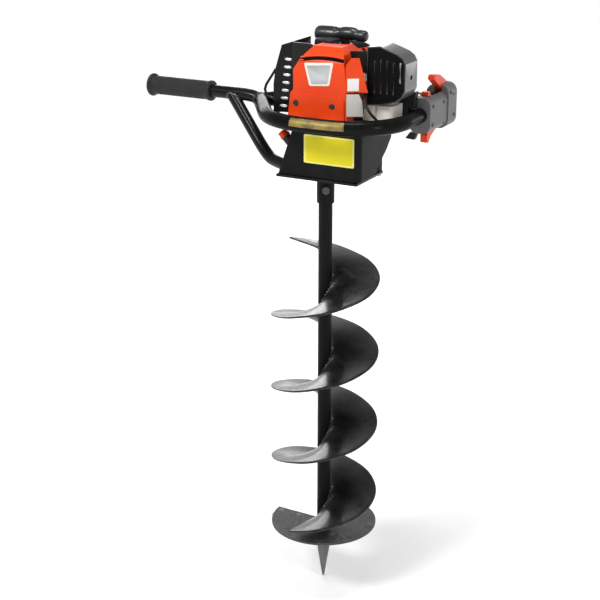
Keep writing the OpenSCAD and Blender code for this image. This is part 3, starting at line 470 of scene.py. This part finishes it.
DARK_STEEL = finish("dark_steel", (0.060, 0.060, 0.062), (0.10, 0.10, 0.102), 0.42, metal=0.85,
                    depth=0.2, rub=grey(0.45), rub_gain=2.0)
POINT_STEEL = finish("point_steel", (0.19, 0.19, 0.195), (0.12, 0.12, 0.122), 0.46, metal=0.75,
                     grain=500.0, depth=0.4, rub=grey(0.5), rub_gain=1.6, dust=0.1, mottle=60.0, spread=0.2)
WELD_BEAD = finish("weld_bead", (0.016, 0.016, 0.017), (0.03, 0.03, 0.031), 0.3, coat=0.4, depth=0.2,
                   rub=grey(0.3), rub_gain=1.5, dust=0.04)
TANK_PLASTIC = finish("tank_plastic", (0.80, 0.76, 0.68), (0.74, 0.69, 0.60), 0.42, depth=0.08, dust=0.03)
CLUTCH_LINING = finish("clutch_lining", (0.10, 0.09, 0.08), (0.16, 0.14, 0.12), 0.8, grain=1500.0,
                       depth=0.6)
FILTER_FOAM = finish("filter_foam", grey(0.03), grey(0.06), 0.95, grain=1900.0, depth=1.0)
LABEL_YELLOW = finish("label_yellow", (0.72, 0.63, 0.006), (0.68, 0.59, 0.008), 0.5, grain=600.0,
                      depth=0.03, dust=0.01, specular=0.25)
LABEL_EDGE = finish("label_edge", (0.80, 0.74, 0.20), (0.76, 0.70, 0.18), 0.5, grain=600.0, depth=0.03,
                    dust=0.01, specular=0.25)
GOLD_BAND = finish("gold_band", (0.34, 0.24, 0.05), (0.10, 0.08, 0.03), 0.46, metal=0.3, grain=500.0,
                   depth=0.06, dust=0.02, mottle=70.0)
BADGE_RIM = finish("badge_rim", (0.86, 0.80, 0.70), (0.80, 0.74, 0.64), 0.35, coat=0.3, grain=700.0,
                   depth=0.03)
BADGE_FIELD = finish("badge_field", (0.55, 0.57, 0.58), (0.42, 0.44, 0.45), 0.3, metal=0.6)
PALE_FOOT = finish("pale_foot", (0.66, 0.63, 0.58), (0.52, 0.52, 0.47), 0.5, grain=700.0, depth=0.1)
# Deep matt black: painted shade in the gap under the cover's cap, in the starter's louvres and on the air
# cleaner's front; the starter's disc is this black too.
DEEP_BLACK = finish("deep_black", grey(0.004), grey(0.007), 0.9, depth=0.1, dust=0.0, specular=0.05)
GLOSS_BLACK = finish("gloss_black", (0.012, 0.012, 0.013), (0.018, 0.018, 0.02), 0.18, coat=0.6,
                     depth=0.03, dust=0.02)
STARTER_BLACK = finish("starter_black", (0.013, 0.014, 0.016), (0.021, 0.022, 0.025), 0.34, coat=0.14,
                       grain=1300.0, depth=0.08, rub=grey(0.08), rub_gain=1.2, dust=0.03, specular=0.45)
CLEANER_BLACK = finish("cleaner_black", grey(0.024), grey(0.034), 0.32, coat=0.5, grain=1500.0,
                       depth=0.08, rub=grey(0.1), rub_gain=1.2, dust=0.02)
DARK_CASTING = finish("dark_casting", (0.020, 0.020, 0.021), (0.034, 0.034, 0.035), 0.5, grain=700.0,
                      depth=0.5, rub=grey(0.2), rub_gain=1.4, specular=0.3)
# Pale tin: the muffler's bright steel, lightened further as painted highlight; the guard's slot pads are
# painted highlights in it.
TIN_AND_HIGHLIGHT = finish("tin_and_painted_highlight", (0.84, 0.84, 0.83), (0.74, 0.74, 0.73), 0.34, metal=0.35, grain=700.0)
# Pale finish of the patch on the cover's facet: a painted reflection.
PAINTED_REFLECTION_PALE = finish("painted_reflection_pale", (0.86, 0.85, 0.82), (0.80, 0.79, 0.76), 0.4, grain=700.0, depth=0.03)

SLOT_FINISH = {
    "black_paint": BLACK_PAINT, "grip_rubber": GRIP_RUBBER, "cast_alloy": CAST_ALLOY,
    "bare_steel": BARE_STEEL, "orange_plastic": ORANGE, "black_plastic": BLACK_PLASTIC,
    "dark_plastic": DARK_PLASTIC, "tank_plastic": TANK_PLASTIC, "clutch_lining": CLUTCH_LINING,
    "filter_foam": FILTER_FOAM}
NODE_FINISH = {
    "cutter_plate": CUTTER_PAINT, "pilot_point": POINT_STEEL, "coupling_bolt": DARK_STEEL,
    "blade_bolts": DARK_STEEL, "cover_screws": DARK_STEEL, "gearbox_lower": DARK_CASTING,
    "gearbox_upper": DARK_CASTING, "muffler": TIN_AND_HIGHLIGHT, "skirt": MATT_BLACK, "bit_tube": MATT_BLACK,
    "air_cleaner_cover": CLEANER_BLACK}


# Solids and their rounded edges

ROUNDED_EDGES = {
    "cylinder_cover": 2.2, "air_cleaner_cover": 2.4, "throttle_shells": 2.0, "muffler_guard": 1.1,
    "skirt": 1.0, "fuel_tank": 2.0, "recoil_housing": 1.2, "base_plate": 0.8, "deck_plate": 0.6,
    "crankcase": 1.0, "fan_housing": 1.0, "gearbox_lower": 1.2, "gearbox_upper": 1.2, "plug_cap": 1.0,
    "lockout_lever": 1.5, "throttle_trigger": 1.2, "stop_switch": 0.8, "choke_lever": 0.8,
    "fuel_cap": 1.0, "cutter_plate": 0.8}
ROUNDED_ANGLE = math.radians(28.0)


def dress_solids():
    """Each solid gets the finish of its slot, apart from a few with their own."""
    for name, solid in solids.items():
        solid.data.materials.clear()
        solid.data.materials.append(NODE_FINISH.get(name, SLOT_FINISH[NODE_SLOT[name]]))


def rounded_solid(node, width):
    """Copy of a solid with its corners merged, its flat faces joined and its sharp edges rounded."""
    mesh = solids[node].data.copy()
    mesh.name = node + "_rounded"
    if "custom_normal" in mesh.attributes:
        mesh.attributes.remove(mesh.attributes["custom_normal"])
    form = bmesh.new()
    form.from_mesh(mesh)
    bmesh.ops.remove_doubles(form, verts=form.verts, dist=3e-6)
    bmesh.ops.dissolve_limit(form, angle_limit=math.radians(0.5), verts=form.verts, edges=form.edges)
    form.to_mesh(mesh)
    form.free()
    mesh.shade_smooth()
    mesh.set_sharp_from_angle(angle=ROUNDED_ANGLE)
    piece = bpy.data.objects.new(node + "_rounded", mesh)
    bpy.context.scene.collection.objects.link(piece)
    bevel = piece.modifiers.new("rounded_edges", "BEVEL")
    bevel.width = width * MM
    bevel.segments = 3
    bevel.limit_method = "ANGLE"
    bevel.angle_limit = ROUNDED_ANGLE
    bevel.harden_normals = True
    body = NODE_BODY[node]
    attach(piece, body)
    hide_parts(node)


# Bit

TUBE_SEAM = 12.3
FILLET_END = 18.6
BEAD_SWELL = 0.16
RIM_RIPPLE = 0.35
BIT_R = 95.5
FLIGHT_PITCH = 136.0
REF_ANGLE = 28.0
REF_LEVEL = -187.8
TOP_ANGLE = 159.0
END_LEVEL = -645.3
LOW_ANGLE = REF_ANGLE + (END_LEVEL - REF_LEVEL) * 360.0 / FLIGHT_PITCH
FLIGHTS = 4
POINT_TOP = -664.0
POINT_LENGTH = 112


def flight_height(angle):
    """Height of the helical plate's middle at an angle: the pitch times the share of a turn."""
    return REF_LEVEL + FLIGHT_PITCH * (angle - REF_ANGLE) / 360.0


def make_flight(number):
    """Quarter of the helical plate: a flat section with a rolled rim and a weld fillet at the tube, carried
    round the helix; the fillet swells and shrinks along the seam, and a slow ripple runs along the rim."""
    share = (TOP_ANGLE - LOW_ANGLE) / FLIGHTS
    high = TOP_ANGLE - share * (number - 1)
    angle = np.linspace(high - share, high, 361)
    turn = np.radians(angle)[:, None]
    out = np.concatenate([[TUBE_SEAM, 12.9, 14.2, 16.5, FILLET_END], np.linspace(23, 88, 10),
                          [92.4, 94.2, 95.2, BIT_R]])
    half = np.concatenate([[6.2, 5.2, 4.0, 2.7, 2.05], np.full(10, 2.0), [2.0, 1.8, 1.2, 0.35]])
    radius = np.concatenate([out, out[::-1]])
    swell = BEAD_SWELL * np.sin(turn * 26) * np.clip((FILLET_END - out) / 6, 0, 1)
    thick = half * (1 + swell)
    offset = np.concatenate([-thick, thick[:, ::-1]], 1)
    ripple = RIM_RIPPLE * np.sin(turn * 7.3) * ((radius - TUBE_SEAM) / 83) ** 2
    grid = turned((0.0, 0.0), radius, turn, flight_height(angle)[:, None] + offset + ripple)
    piece = add_skin(f"flight_{number}_plate", grid, FLIGHT_PAINT, "bit")
    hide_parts(f"flight_{number}")


def make_point():
    """Pilot point: a round neck that flattens into a blade with a ridge down each face, which narrows to
    the tip and turns a little on the way."""
    down = np.concatenate([np.linspace(0, 12, 10), np.linspace(13, POINT_LENGTH, 90)])
    share = np.clip((down - 6) / (POINT_LENGTH - 6), 0, 1)
    stations = [0, 6, 20, 52, 92, 108, POINT_LENGTH]
    wide = np.interp(down, stations, [10.2, 10.4, 12.2, 11.2, 5.8, 3.2, 1.4])
    thin = np.interp(down, stations, [10.2, 10.2, 9.4, 8.8, 4.8, 2.6, 1.0])
    power = np.interp(down, [6, 24], [1.0, 1.7])[:, None]
    angle = full_turn(48)
    turn = np.radians(12 + 60 * share)[:, None]
    across = wide[:, None] * signed_power(np.cos(angle), power)
    deep = thin[:, None] * signed_power(np.sin(angle), power)
    x = across * np.cos(turn) - deep * np.sin(turn)
    y = across * np.sin(turn) + deep * np.cos(turn)
    grid = np.stack(np.broadcast_arrays(x, y, POINT_TOP - down[:, None]), -1)
    piece = add_skin("pilot_blade", grid, POINT_STEEL, "bit")
    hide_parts("pilot_point")


# Handle grip

GRIP_END = -361
GRIP_LENGTH = 128
GRIP_CUTS = 12
GRIP_LEAN = 0.36
GRIP_DEPTH = 0.75


def make_grip():
    """Rubber sleeve with a rolled flange at each end; crossed waves cut a diamond grip into it."""
    along = np.concatenate([np.linspace(0, 10, 26), np.linspace(10.6, 117.5, 170),
                            np.linspace(118, GRIP_LENGTH, 26)])
    stations = [0, 0.5, 1.6, 3.2, 5.6, 7.4, 8.8, 11, 118, 120, 121.6, 123, 126, 127.3, GRIP_LENGTH]
    radii = [16.6, 18.3, 19.5, 20, 20, 19.2, 17.4, 16.3, 16.3, 16.8, 17.5, 17.8, 17.8, 17.3, 16.4]
    radius = np.interp(along, stations, radii)[:, None]
    angle = full_turn(180)
    window = np.clip((along - 14) / 4, 0, 1) * np.clip((115 - along) / 4, 0, 1)
    lean = along[:, None] * GRIP_LEAN
    wave_one = np.abs(np.sin(GRIP_CUTS * angle + lean))
    wave_two = np.abs(np.sin(GRIP_CUTS * angle - lean))
    cut = GRIP_DEPTH * np.maximum(1 - wave_one, 1 - wave_two) ** 3 * window[:, None]
    grid = round_bar(GRIP_END + along, HANDLE_Y, HANDLE_LEVEL, radius - cut, angle)
    piece = add_skin("grip_sleeve", grid, GRIP_RUBBER, "powerhead")
    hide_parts("handle_grip")


# Tubes of the carrying frame and their welds

TIP_BEND = 13.0
RAKE_DEGREES = 56.0
RAKE = math.radians(RAKE_DEGREES)
BRACE_R = 10.5
HANDLE_ROUTE = [[-356, HANDLE_Y, HANDLE_LEVEL], [-168, HANDLE_Y, HANDLE_LEVEL], [-150, HANDLE_Y, 111.4],
                [-138, HANDLE_Y, 107]]
BRACE_ROUTE = [[-196, HANDLE_Y, 114], [-113.5, -18, 35.6], [-90.3, -30, 19], [-44, -49.5, 14.6]]


def hoop_arc(x, y, radius, first, last, count):
    """Points of a level arc at the hoop's height, between two angles in degrees."""
    return turned((x, y), radius, np.radians(np.linspace(first, last, count)), HOOP_LEVEL)


def hoop_path():
    """Middle of the hoop's tube: bends at its tip, side and front joined by straights, and their mirror
    image behind the handle."""
    drop = HANDLE_Y - SIDE_Y + SIDE_BEND * math.cos(RAKE)
    tip = SIDE_X - SIDE_BEND * math.sin(RAKE) - drop / math.tan(RAKE)
    lean = 270 - RAKE_DEGREES
    near = np.concatenate([hoop_arc(tip + TIP_BEND / math.sin(RAKE), HANDLE_Y, TIP_BEND, 180, lean, 14),
                           hoop_arc(SIDE_X, SIDE_Y, SIDE_BEND, lean, 270, 40),
                           hoop_arc(FRONT_X, FRONT_Y, FRONT_BEND, 270, 360, 56)])
    far = near[:0:-1] * [1, -1, 1] + [0, 2 * HANDLE_Y, 0]
    return np.concatenate([near, far])


def meeting_line(grid, middle, radius):
    """Seam where two tubes meet: for each column of one, its first row that lies inside the other."""
    gap = np.linalg.norm(grid[:, :, None] - middle[None, None], axis=-1).min(-1)
    first = np.argmax(gap < radius, axis=0)
    seam = grid[first, np.arange(grid.shape[1])]
    for _ in range(6):
        seam = 0.5 * seam + 0.25 * (np.roll(seam, 1, 0) + np.roll(seam, -1, 0))
    return seam


def weld(name, seam, radius):
    """Weld bead round a closed seam: a round section that swells at each ripple."""
    swell = radius * (1 + BEAD_SWELL * np.sin(full_turn(len(seam)) * round(len(seam) / 6)))
    profile = ring(1.0, 12)[None] * swell[:, None, None]
    add_skin(name, swept(seam, profile, True), WELD_BEAD, "powerhead", closed=True)


def make_frame_tubes():
    """Hoop, handle and brace as round tubes on smooth lines; the handle dips into the hoop's point, the
    brace runs from under the handle down behind the skirt, and weld beads lie on their seams."""
    path = hoop_path()
    hoop_skin = swept(path, ring(HOOP_R, 40), True)
    hoop = add_skin("hoop_tube", hoop_skin, HOOP_PAINT, "powerhead", closed=True)
    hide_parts("hoop")
    handle_skin = swept(eased_line(HANDLE_ROUTE, 160, 60), ring(HANDLE_R, 40))
    handle = add_skin("handle_pipe", handle_skin, BLACK_PAINT, "powerhead")
    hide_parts("handle_tube")
    point = even_line(np.concatenate([path[-20:], path[:20]]), 260)
    weld("handle_weld", meeting_line(handle_skin, point, HOOP_R + 0.3), 2.1)
    brace_skin = swept(eased_line(BRACE_ROUTE, 150, 160), ring(BRACE_R, 36))
    brace = add_skin("brace_pipe", brace_skin, BLACK_PAINT, "powerhead")
    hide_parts("handle_brace")
    rail = even_line([[-230, HANDLE_Y, HANDLE_LEVEL], [-150, HANDLE_Y, HANDLE_LEVEL]], 240)
    weld("brace_weld", meeting_line(brace_skin[40::-1], rail, HANDLE_R + 0.2), 1.9)


def make_band():
    """Thin gold band over the front of the hoop tube: an arc of the tube's section carried along it."""
    x = np.linspace(1, 91, 70)
    left = SIDE_Y - np.sqrt(np.maximum(SIDE_BEND ** 2 - (x - SIDE_X) ** 2, 0))
    right = FRONT_Y - np.sqrt(np.maximum(FRONT_BEND ** 2 - (x - FRONT_X) ** 2, 0))
    y = np.where(x < SIDE_X, left, np.where(x < FRONT_X, HOOP_FRONT, right))
    path = np.stack([x, y, np.full_like(x, HOOP_LEVEL)], 1)
    angle = np.linspace(math.radians(-8), math.radians(58), 24)
    line = np.stack([np.cos(angle), np.sin(angle)], 1)
    profile = np.concatenate([(HOOP_R + 0.35) * line, (HOOP_R - 0.2) * line[::-1]])
    add_skin("hoop_band", swept(path, profile), GOLD_BAND, "powerhead")


# Starter

def make_starter_lumps():
    """Three finger lumps along the starter grip: a round section whose radius and height vary along it."""
    along = np.concatenate([np.linspace(-3, 3, 16), np.linspace(4, 88, 90), np.linspace(88.6, 93, 14)])
    stations = [-3, -2.6, -1.4, 0, 3, 10, 24, 34, 40.5, 43.5, 48, 56, 64, 70, 73, 77, 83, 88, 90.6,
                92.2, 93]
    radii = [1.5, 6, 9.8, 11.6, 13, 13.6, 13.7, 13, 11.6, 10.2, 10.9, 11.4, 11.1, 10, 9.2, 9.6, 9.8, 9.2,
             7.8, 5, 1.5]
    height = np.interp(along, [0, 38, 46, 68, 76, 90], [226, 226, 229, 229, 227, 226.5])[:, None]
    radius = np.interp(along, stations, radii)
    soft = np.convolve(np.pad(radius, 2, mode="edge"), np.ones(5) / 5, "valid")
    radius = np.where((along > 2) & (along < 87), soft, radius)[:, None]
    grid = round_bar(-37 + along, ENGINE[1], height, radius, full_turn(48))
    add_skin("starter_lumps", grid, STARTER_BLACK, "starter_grip")


def make_recoil_slots():
    """Ring of louvres on the starter housing's sloped shoulder, each a thin deep black sector laid on the
    cone, painted shade of the opening; and a dark turned disc inside the ring, with a hole for the rope."""
    swing = np.radians(np.linspace(-4.5, 4.5, 7))
    angle = full_turn(18)[:, None, None] + swing
    cone = np.array([[40.6, 209.4], [41.1, 209.5], [47.6, 204.6], [48.2, 203.9]])
    points = turned(ENGINE, cone[None, :, :1], angle, cone[None, :, 1:])
    # Deep black sectors: painted shade of the louvre openings.
    piece = add_copies("recoil_slot_shade", points, DEEP_BLACK, "powerhead")
    disc = np.array([[11.0, 212.06], [34.9, 212.06], [39.4, 209.85], [39.7, 209.3], [11.0, 210.5]])
    grid = turned(ENGINE, disc[:, :1], full_turn(72), disc[:, 1:])
    add_skin("recoil_disc", grid, DEEP_BLACK, "powerhead", closed=True)


def make_grip_nest():
    """Moulded nest under the starter grip's thick end and a taller rest before it: rounded oblongs that
    draw in towards the top."""
    rise = np.array([0.0, 6.0, 10.0, 11.6, 12.2])[:, None]
    grow = np.array([1.0, 0.98, 0.95, 0.88, 0.7])[:, None]
    angle = full_turn(48)
    for name, x, y, level, deep, taller in (
            ("grip_nest", -13, 38, 200, 13.5, 1.0), ("grip_rest", -2, 9, 205, 14.5, 1.6)):
        across = x + 22 * grow * signed_power(np.cos(angle), 0.5)
        along = y + deep * grow * signed_power(np.sin(angle), 0.5)
        grid = np.stack(np.broadcast_arrays(across, along, level + taller * rise), -1)
        add_skin(name, grid, BLACK_PLASTIC, "powerhead")


# Orange cover

BROW_LEVEL = 198
LIP_RISE = 4.0
LIP_R = 1.7
FACET_X = 68
FACET_ACROSS = 0.809
FACET_BACK = 0.588
FACET_EASE = 20
FACET_SLACK = 0.33
WING_LOW = 152
WING_TOP = 207
WING_BOW = 1.2
WING_THICK = 2.4


def brow_depth(z):
    """Depth of the cover's front face at a height: it slopes back above the brow."""
    return COVER_FRONT + np.maximum(z - BROW_LEVEL, 0) * 6 / 11


def make_cover_shadow_and_lip():
    """Painted shadow of the gap under the cover's cap: a deep black strip laid on its sloped brow and
    highest in the middle, with a lip of the cover's own colour above it."""
    x = np.linspace(-16.5, 61.5, 60)
    middle = (203.4 - 0.0024 * (x - 30) ** 2)[:, None]
    z = middle + np.array([-2.6, -2.4, 2.4, 2.6, 2.0, -2.0])
    out = np.array([-0.05, 0.35, 0.35, -0.05, -1.2, -1.2])
    grid = np.stack(np.broadcast_arrays(x[:, None], brow_depth(z) - out, z), -1)
    # Deep black strip: painted shadow in the gap under the cover's cap.
    add_skin("cover_gap_painted_shadow", grid, DEEP_BLACK, "powerhead")
    lip = middle + LIP_RISE
    grid = round_bar(x, brow_depth(lip), lip, LIP_R, full_turn(12))
    add_skin("cover_lip", grid, ORANGE, "powerhead")


def facet_spot(along, out, z):
    """Point on the cover's right facet, which runs back at 36 degrees from the front corner and eases off
    further along, so that it stays clear of the choke lever's swing."""
    x = FACET_X + FACET_ACROSS * along + FACET_BACK * out
    depth = FACET_BACK * along - FACET_SLACK * np.maximum(along - FACET_EASE, 0)
    return np.stack([x, COVER_FRONT + depth - FACET_ACROSS * out, z], -1)


def make_cover_wing():
    """Flared right facet of the cover: a four-sided sheet drawn out towards its foot, with a pale patch on
    it that is a painted reflection, and a pale five-sided plate below it."""
    height = WING_TOP - WING_LOW
    u = np.linspace(0, 1, 13)[:, None]
    v = np.linspace(0, 1, 25)[None]
    z = WING_LOW + height * v + 0 * u
    start = -1.5 + 0.9 * np.maximum(z - 196, 0)
    along = start + u * (37.5 - 17.0 * v ** 0.9 - start)
    bow = WING_BOW * np.sin(math.pi * v) * u
    add_sheet("cover_wing", facet_spot(along, bow, z), facet_spot(along, bow - WING_THICK, z), ORANGE)
    u = np.linspace(0, 1, 9)[:, None]
    v = np.linspace(0, 1, 9)[None]
    z = 154.5 + 20 * v + 0 * u
    along = 1.2 + 18.5 * u + 0 * v
    bow = WING_BOW * np.sin(math.pi * (z - WING_LOW) / height) * along / 30
    # Pale patch: painted reflection on the facet.
    add_sheet("wing_painted_reflection", facet_spot(along, bow + 0.35, z), facet_spot(along, bow - 0.6, z), PAINTED_REFLECTION_PALE)
    ends = np.array([[0.0, 113.0], [29.0, 113.0], [26.5, 137.0], [20.0, 149.0], [0.0, 149.0]])
    grid = np.stack([facet_spot(ends[:, 0], np.full(5, out), ends[:, 1]) for out in (0.0, -WING_THICK)])
    add_skin("wing_foot", grid, PALE_FOOT, "powerhead")


# Slabs, bars, ribs and screws

SCREW_R = 3.2


def slab(name, outline, front, back, material):
    """Thick plate facing the front: an outline carried from front to back and drawn in at both faces."""
    rows = [(0.965, front), (1.0, front + 0.8), (1.0, back - 0.8), (0.965, back)]
    grid = stacked_outlines(np.asarray(outline, float), rows)
    add_skin(name, grid, material, "powerhead")


def front_bar(name, x, y, low, high, sink, deep, material):
    """Upright bar on a front face: an oval section carried up a line whose two ends sink further back."""
    path = [[x, y + sink, low], [x, y, low + 2], [x, y, high - 2], [x, y + sink, high]]
    profile = ring(1.0, 16) * [1.5, deep]
    add_skin(name, swept(np.array(path, float), profile), material, "powerhead")


def rib_ring(name, centre, radius, low, high, degrees, width, material, body="powerhead"):
    """Upright ribs round a cylinder: each a half-round bar whose ends sink into the wall."""
    turn = np.radians(degrees)[:, None, None]
    round_half = np.linspace(0, math.pi, 9)[None, None]
    sink = np.array([0.0, 1.0, 1.0, 0.0])[None, :, None]
    reach = radius - 0.3 + width * np.sin(round_half) * sink
    swing = turn + width * np.cos(round_half) / radius
    level = np.array([low, low + 1.5, high - 1.5, high])[None, :, None]
    piece = add_copies(name, turned(centre, reach, swing, level), material, body, sharp=60.0)


def studs(name, spots, outward, radius, material):
    """Screw heads with a round socket: one turned profile at each spot, facing its outward direction."""
    profile = radius * np.array([[1.0, -0.3], [1.0, 0.35], [0.86, 0.5], [0.5, 0.5], [0.44, 0.42],
                                 [0.4, 0.12], [0.02, 0.1]])
    spots = np.asarray(spots, float)
    outward = np.asarray(outward, float)
    side = np.cross(outward, [0.0, 0.0, 1.0])
    up = np.cross(side, outward)
    angle = full_turn(20)[:, None]
    spread = np.cos(angle) * side[:, None] + np.sin(angle) * up[:, None]
    points = (spots[:, None, None] + profile[None, :, None, :1] * spread[:, None]
              + profile[None, :, None, 1:] * outward[:, None, None])
    piece = add_copies(name, points, material, "powerhead", wrap=True)


def make_air_cleaner_front():
    """Deep matt black panel on the air cleaner's front, painted shade for the dark reflection of the glossy
    front, with upright ribs; and a bright steel bar down its right corner, a painted highlight.
    """
    # Deep matt black front panel: painted shade for the dark reflection of the glossy front.
    slab("air_front_painted_shade", [[91, 130.6], [116, 132.6], [139.6, 138.6], [151.2, 146.4], [156.6, 157.4],
                       [156.6, 199.6], [152.2, 208], [143.6, 213.6], [112, 224.4], [91, 221.8]],
         -34.5, -32.7, DEEP_BLACK)
    # Bright steel bar: painted highlight down the front's right corner.
    front_bar("air_painted_highlight", 149, -34.6, 170, 202, 0.6, 1.2, BARE_STEEL)
    for number, x in enumerate((104.0, 115.0, 126.0, 137.0)):
        top = 206 - 0.25 * abs(x - 120)
        front_bar(f"air_rib_{number + 1}", x, -34.3, 150, top, 0.3, 1.1, GLOSS_BLACK)


def make_guard_details():
    """Bright pads seated in the guard's slots, each a flat ellipsoid, painted highlights of the muffler
    behind the slots; and a black wing that closes the gap between the guard and the cover."""
    lift = np.linspace(-math.pi / 2, math.pi / 2, 9)[:, None]
    angle = full_turn(20)
    place = np.arange(7)[:, None, None]
    x = -58.5 + 1.5 * place + 7.5 * np.cos(lift) * np.cos(angle)
    y = -40.0 + 1.7 * np.sin(lift)
    z = 115 + 13.0 * place + 3.0 * np.cos(lift) * np.sin(angle)
    points = np.stack(np.broadcast_arrays(x, y, z), -1)
    # Bright pads: painted highlights in the guard's slots.
    piece = add_copies("guard_slot_highlights", points, TIN_AND_HIGHLIGHT, "powerhead", wrap=True, sharp=80.0)
    slab("guard_wing", [[-43.6, 148], [-30.6, 148], [-30.6, 182.6], [-22.6, 195], [-12.6, 208], [-4, 219.5],
                        [-12, 222], [-43.6, 221.6]], -41.6, -36.6, BLACK_PLASTIC)


def make_housing_details():
    """Cooling ribs on the fan housing and crankcase, ridges round the tank's cap, screws on the starter
    housing and throttle shells, and the tank's welded seam."""
    rib_ring("fan_ribs", ENGINE, 56.0, 100, 124, np.linspace(-12, 192, 30), 1.4, CAST_ALLOY)
    rib_ring("case_ribs", ENGINE, 46.0, 165, 188, np.linspace(-12, 192, 25), 1.3, CAST_ALLOY)
    rib_ring("cap_ridges", (6, 121), 17.0, 142.5, 154.5, np.linspace(0, 360, 30, endpoint=False), 1.1,
             BLACK_PLASTIC, "tank_cap")
    outward = turned((0.0, 0.0), 1.0, np.radians([15.0, 75.0, 135.0, 195.0]), 0.0)
    spots = np.array([*ENGINE, 195.5]) + 53.0 * outward
    studs("recoil_screws", spots, outward, SCREW_R, DARK_STEEL)
    spots = [[175.5, 42, 90], [175.5, 42, 121], [175.5, 88, 121], [177.5, 128, 92], [177.5, 112, 132]]
    studs("shell_screws", spots, np.tile([1.0, 0.0, 0.0], (5, 1)), SCREW_R, DARK_STEEL)
    corner = np.radians(np.linspace(0, 90, 9))
    turn = np.concatenate([corner + quarter * math.pi / 2 for quarter in range(4)])
    centres = (np.repeat([72.0, -6.0, -6.0, 72.0], 9), np.repeat([129.0, 129.0, 114.0, 114.0], 9))
    seam = swept(turned(centres, 12.2, turn, 108.0), ring(1.0, 10) * [1.3, 1.0], True)
    add_skin("tank_seam", seam, TANK_PLASTIC, "powerhead", closed=True)


def make_fillers():
    """Small plain parts between the larger ones: a guide for the throttle cable, a baffle beside the air
    cleaner, the tank's front lobe and a foot under the throttle shells."""
    slab("cable_guide", [[112, 100], [141, 100], [142, 119.4], [152, 119.6], [154, 147], [128, 146],
                         [114, 130]], 17.5, 29.6, BLACK_PLASTIC)
    slab("air_baffle", [[63.8, 180], [89.8, 180], [89.8, 216], [58, 213]], -31, -27, BLACK_PLASTIC)
    slab("tank_lobe", [[77, 100.6], [97, 100.6], [97, 126.4], [88, 126.4], [80, 118]], -20.4, 8.0,
         TANK_PLASTIC)
    slab("shell_foot", [[131, 66], [147, 64.5], [151, 76.4], [139, 76.4]], 30.5, 42.0, BLACK_PLASTIC)


# Bare plates

SKIRT_FRONT = -62.5
PLATE_FRONT = -62.8


def plate(name, corners, front, thick, round_by, material):
    """Thin plate facing the front: a four-cornered outline with rounded corners, raised off the face."""
    corners = np.asarray(corners, float)
    before = np.roll(corners, 1, 0) - corners
    after = np.roll(corners, -1, 0) - corners
    before /= np.linalg.norm(before, axis=1, keepdims=True)
    after /= np.linalg.norm(after, axis=1, keepdims=True)
    t = np.linspace(0, 1, 7)[None, :, None]
    start = (corners + before * round_by)[:, None]
    stop = (corners + after * round_by)[:, None]
    outline = start * (1 - t) ** 2 + 2 * corners[:, None] * t * (1 - t) + stop * t ** 2
    rows = [(1.0, front), (1.0, front - thick * 0.7), (0.985, front - thick)]
    grid = stacked_outlines(outline.reshape(-1, 2), rows)
    add_skin(name, grid, material, "powerhead")


def make_plates():
    """Bare label on the skirt and bare badge on the cover, each a plate on a wider border."""
    plate("label_border", [[-9, 29], [83, 29], [83, 77], [-9, 77]], SKIRT_FRONT, 0.35, 3.0, LABEL_EDGE)
    plate("label_field", [[-5.5, 32], [80, 32], [80, 74], [-5.5, 74]], PLATE_FRONT, 0.25, 2.0, LABEL_YELLOW)
    plate("badge_border", [[1, 157], [37, 160], [44, 198], [-9, 194]], COVER_FRONT, 0.9, 3.0, BADGE_RIM)
    plate("badge_plate", [[4.5, 160.5], [34, 163], [39.5, 194], [-4, 190.5]], PLATE_FRONT, 0.4, 2.0,
          BADGE_FIELD)


# Cords

def make_cord(name, node, points, rounds, radius, material):
    """Round cord on an eased line along its route; both ends go into the machine."""
    path = eased_line(points, 120, rounds)
    piece = add_skin(name, swept(path, ring(radius, 20)), material, "powerhead")
    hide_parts(node)


def make_cords():
    """Throttle cable from the shells to the carburettor, lead from the coil to the plug cap, and hose from
    the tank to the carburettor."""
    make_cord("throttle_cable_line", "throttle_cable",
              [[146, 29.95, 90], [146, 20, 90], [146, -40, 90], [136, -56, 98], [104, -58, 124],
               [89, -46, 145], [88, -38, 147], [88, -29.05, 147]], 200, 2.2, BLACK_PLASTIC)
    make_cord("ignition_lead_line", "ignition_lead",
              [[15, 92, 152], [15, 92, 162], [-30, 82, 174], [-46, 46, 193], [-36, -4, 204.5],
               [8, -16, 204], [15, -17, 195.5], [15, -23.98, 195.5]], 220, 2.4, BLACK_PLASTIC)
    make_cord("fuel_hose_line", "fuel_hose",
              [[62, 112, 144], [62, 112, 152], [80, 96, 150], [90, 50, 136], [88, 14, 126], [88, -12, 126],
               [88, -12, 133.98]], 600, 2.5, BLACK_PLASTIC)


# Assembly

place_camera()
make_cords()
light_studio()
dress_solids()
for flight in range(1, FLIGHTS + 1):
    make_flight(flight)
make_point()
make_grip()
make_frame_tubes()
make_starter_lumps()
make_recoil_slots()
make_cover_shadow_and_lip()
make_cover_wing()
make_air_cleaner_front()
make_guard_details()
make_grip_nest()
make_housing_details()
make_fillers()
make_plates()
make_band()
for rounded_node, edge_width in ROUNDED_EDGES.items():
    rounded_solid(rounded_node, edge_width)
make_floor()
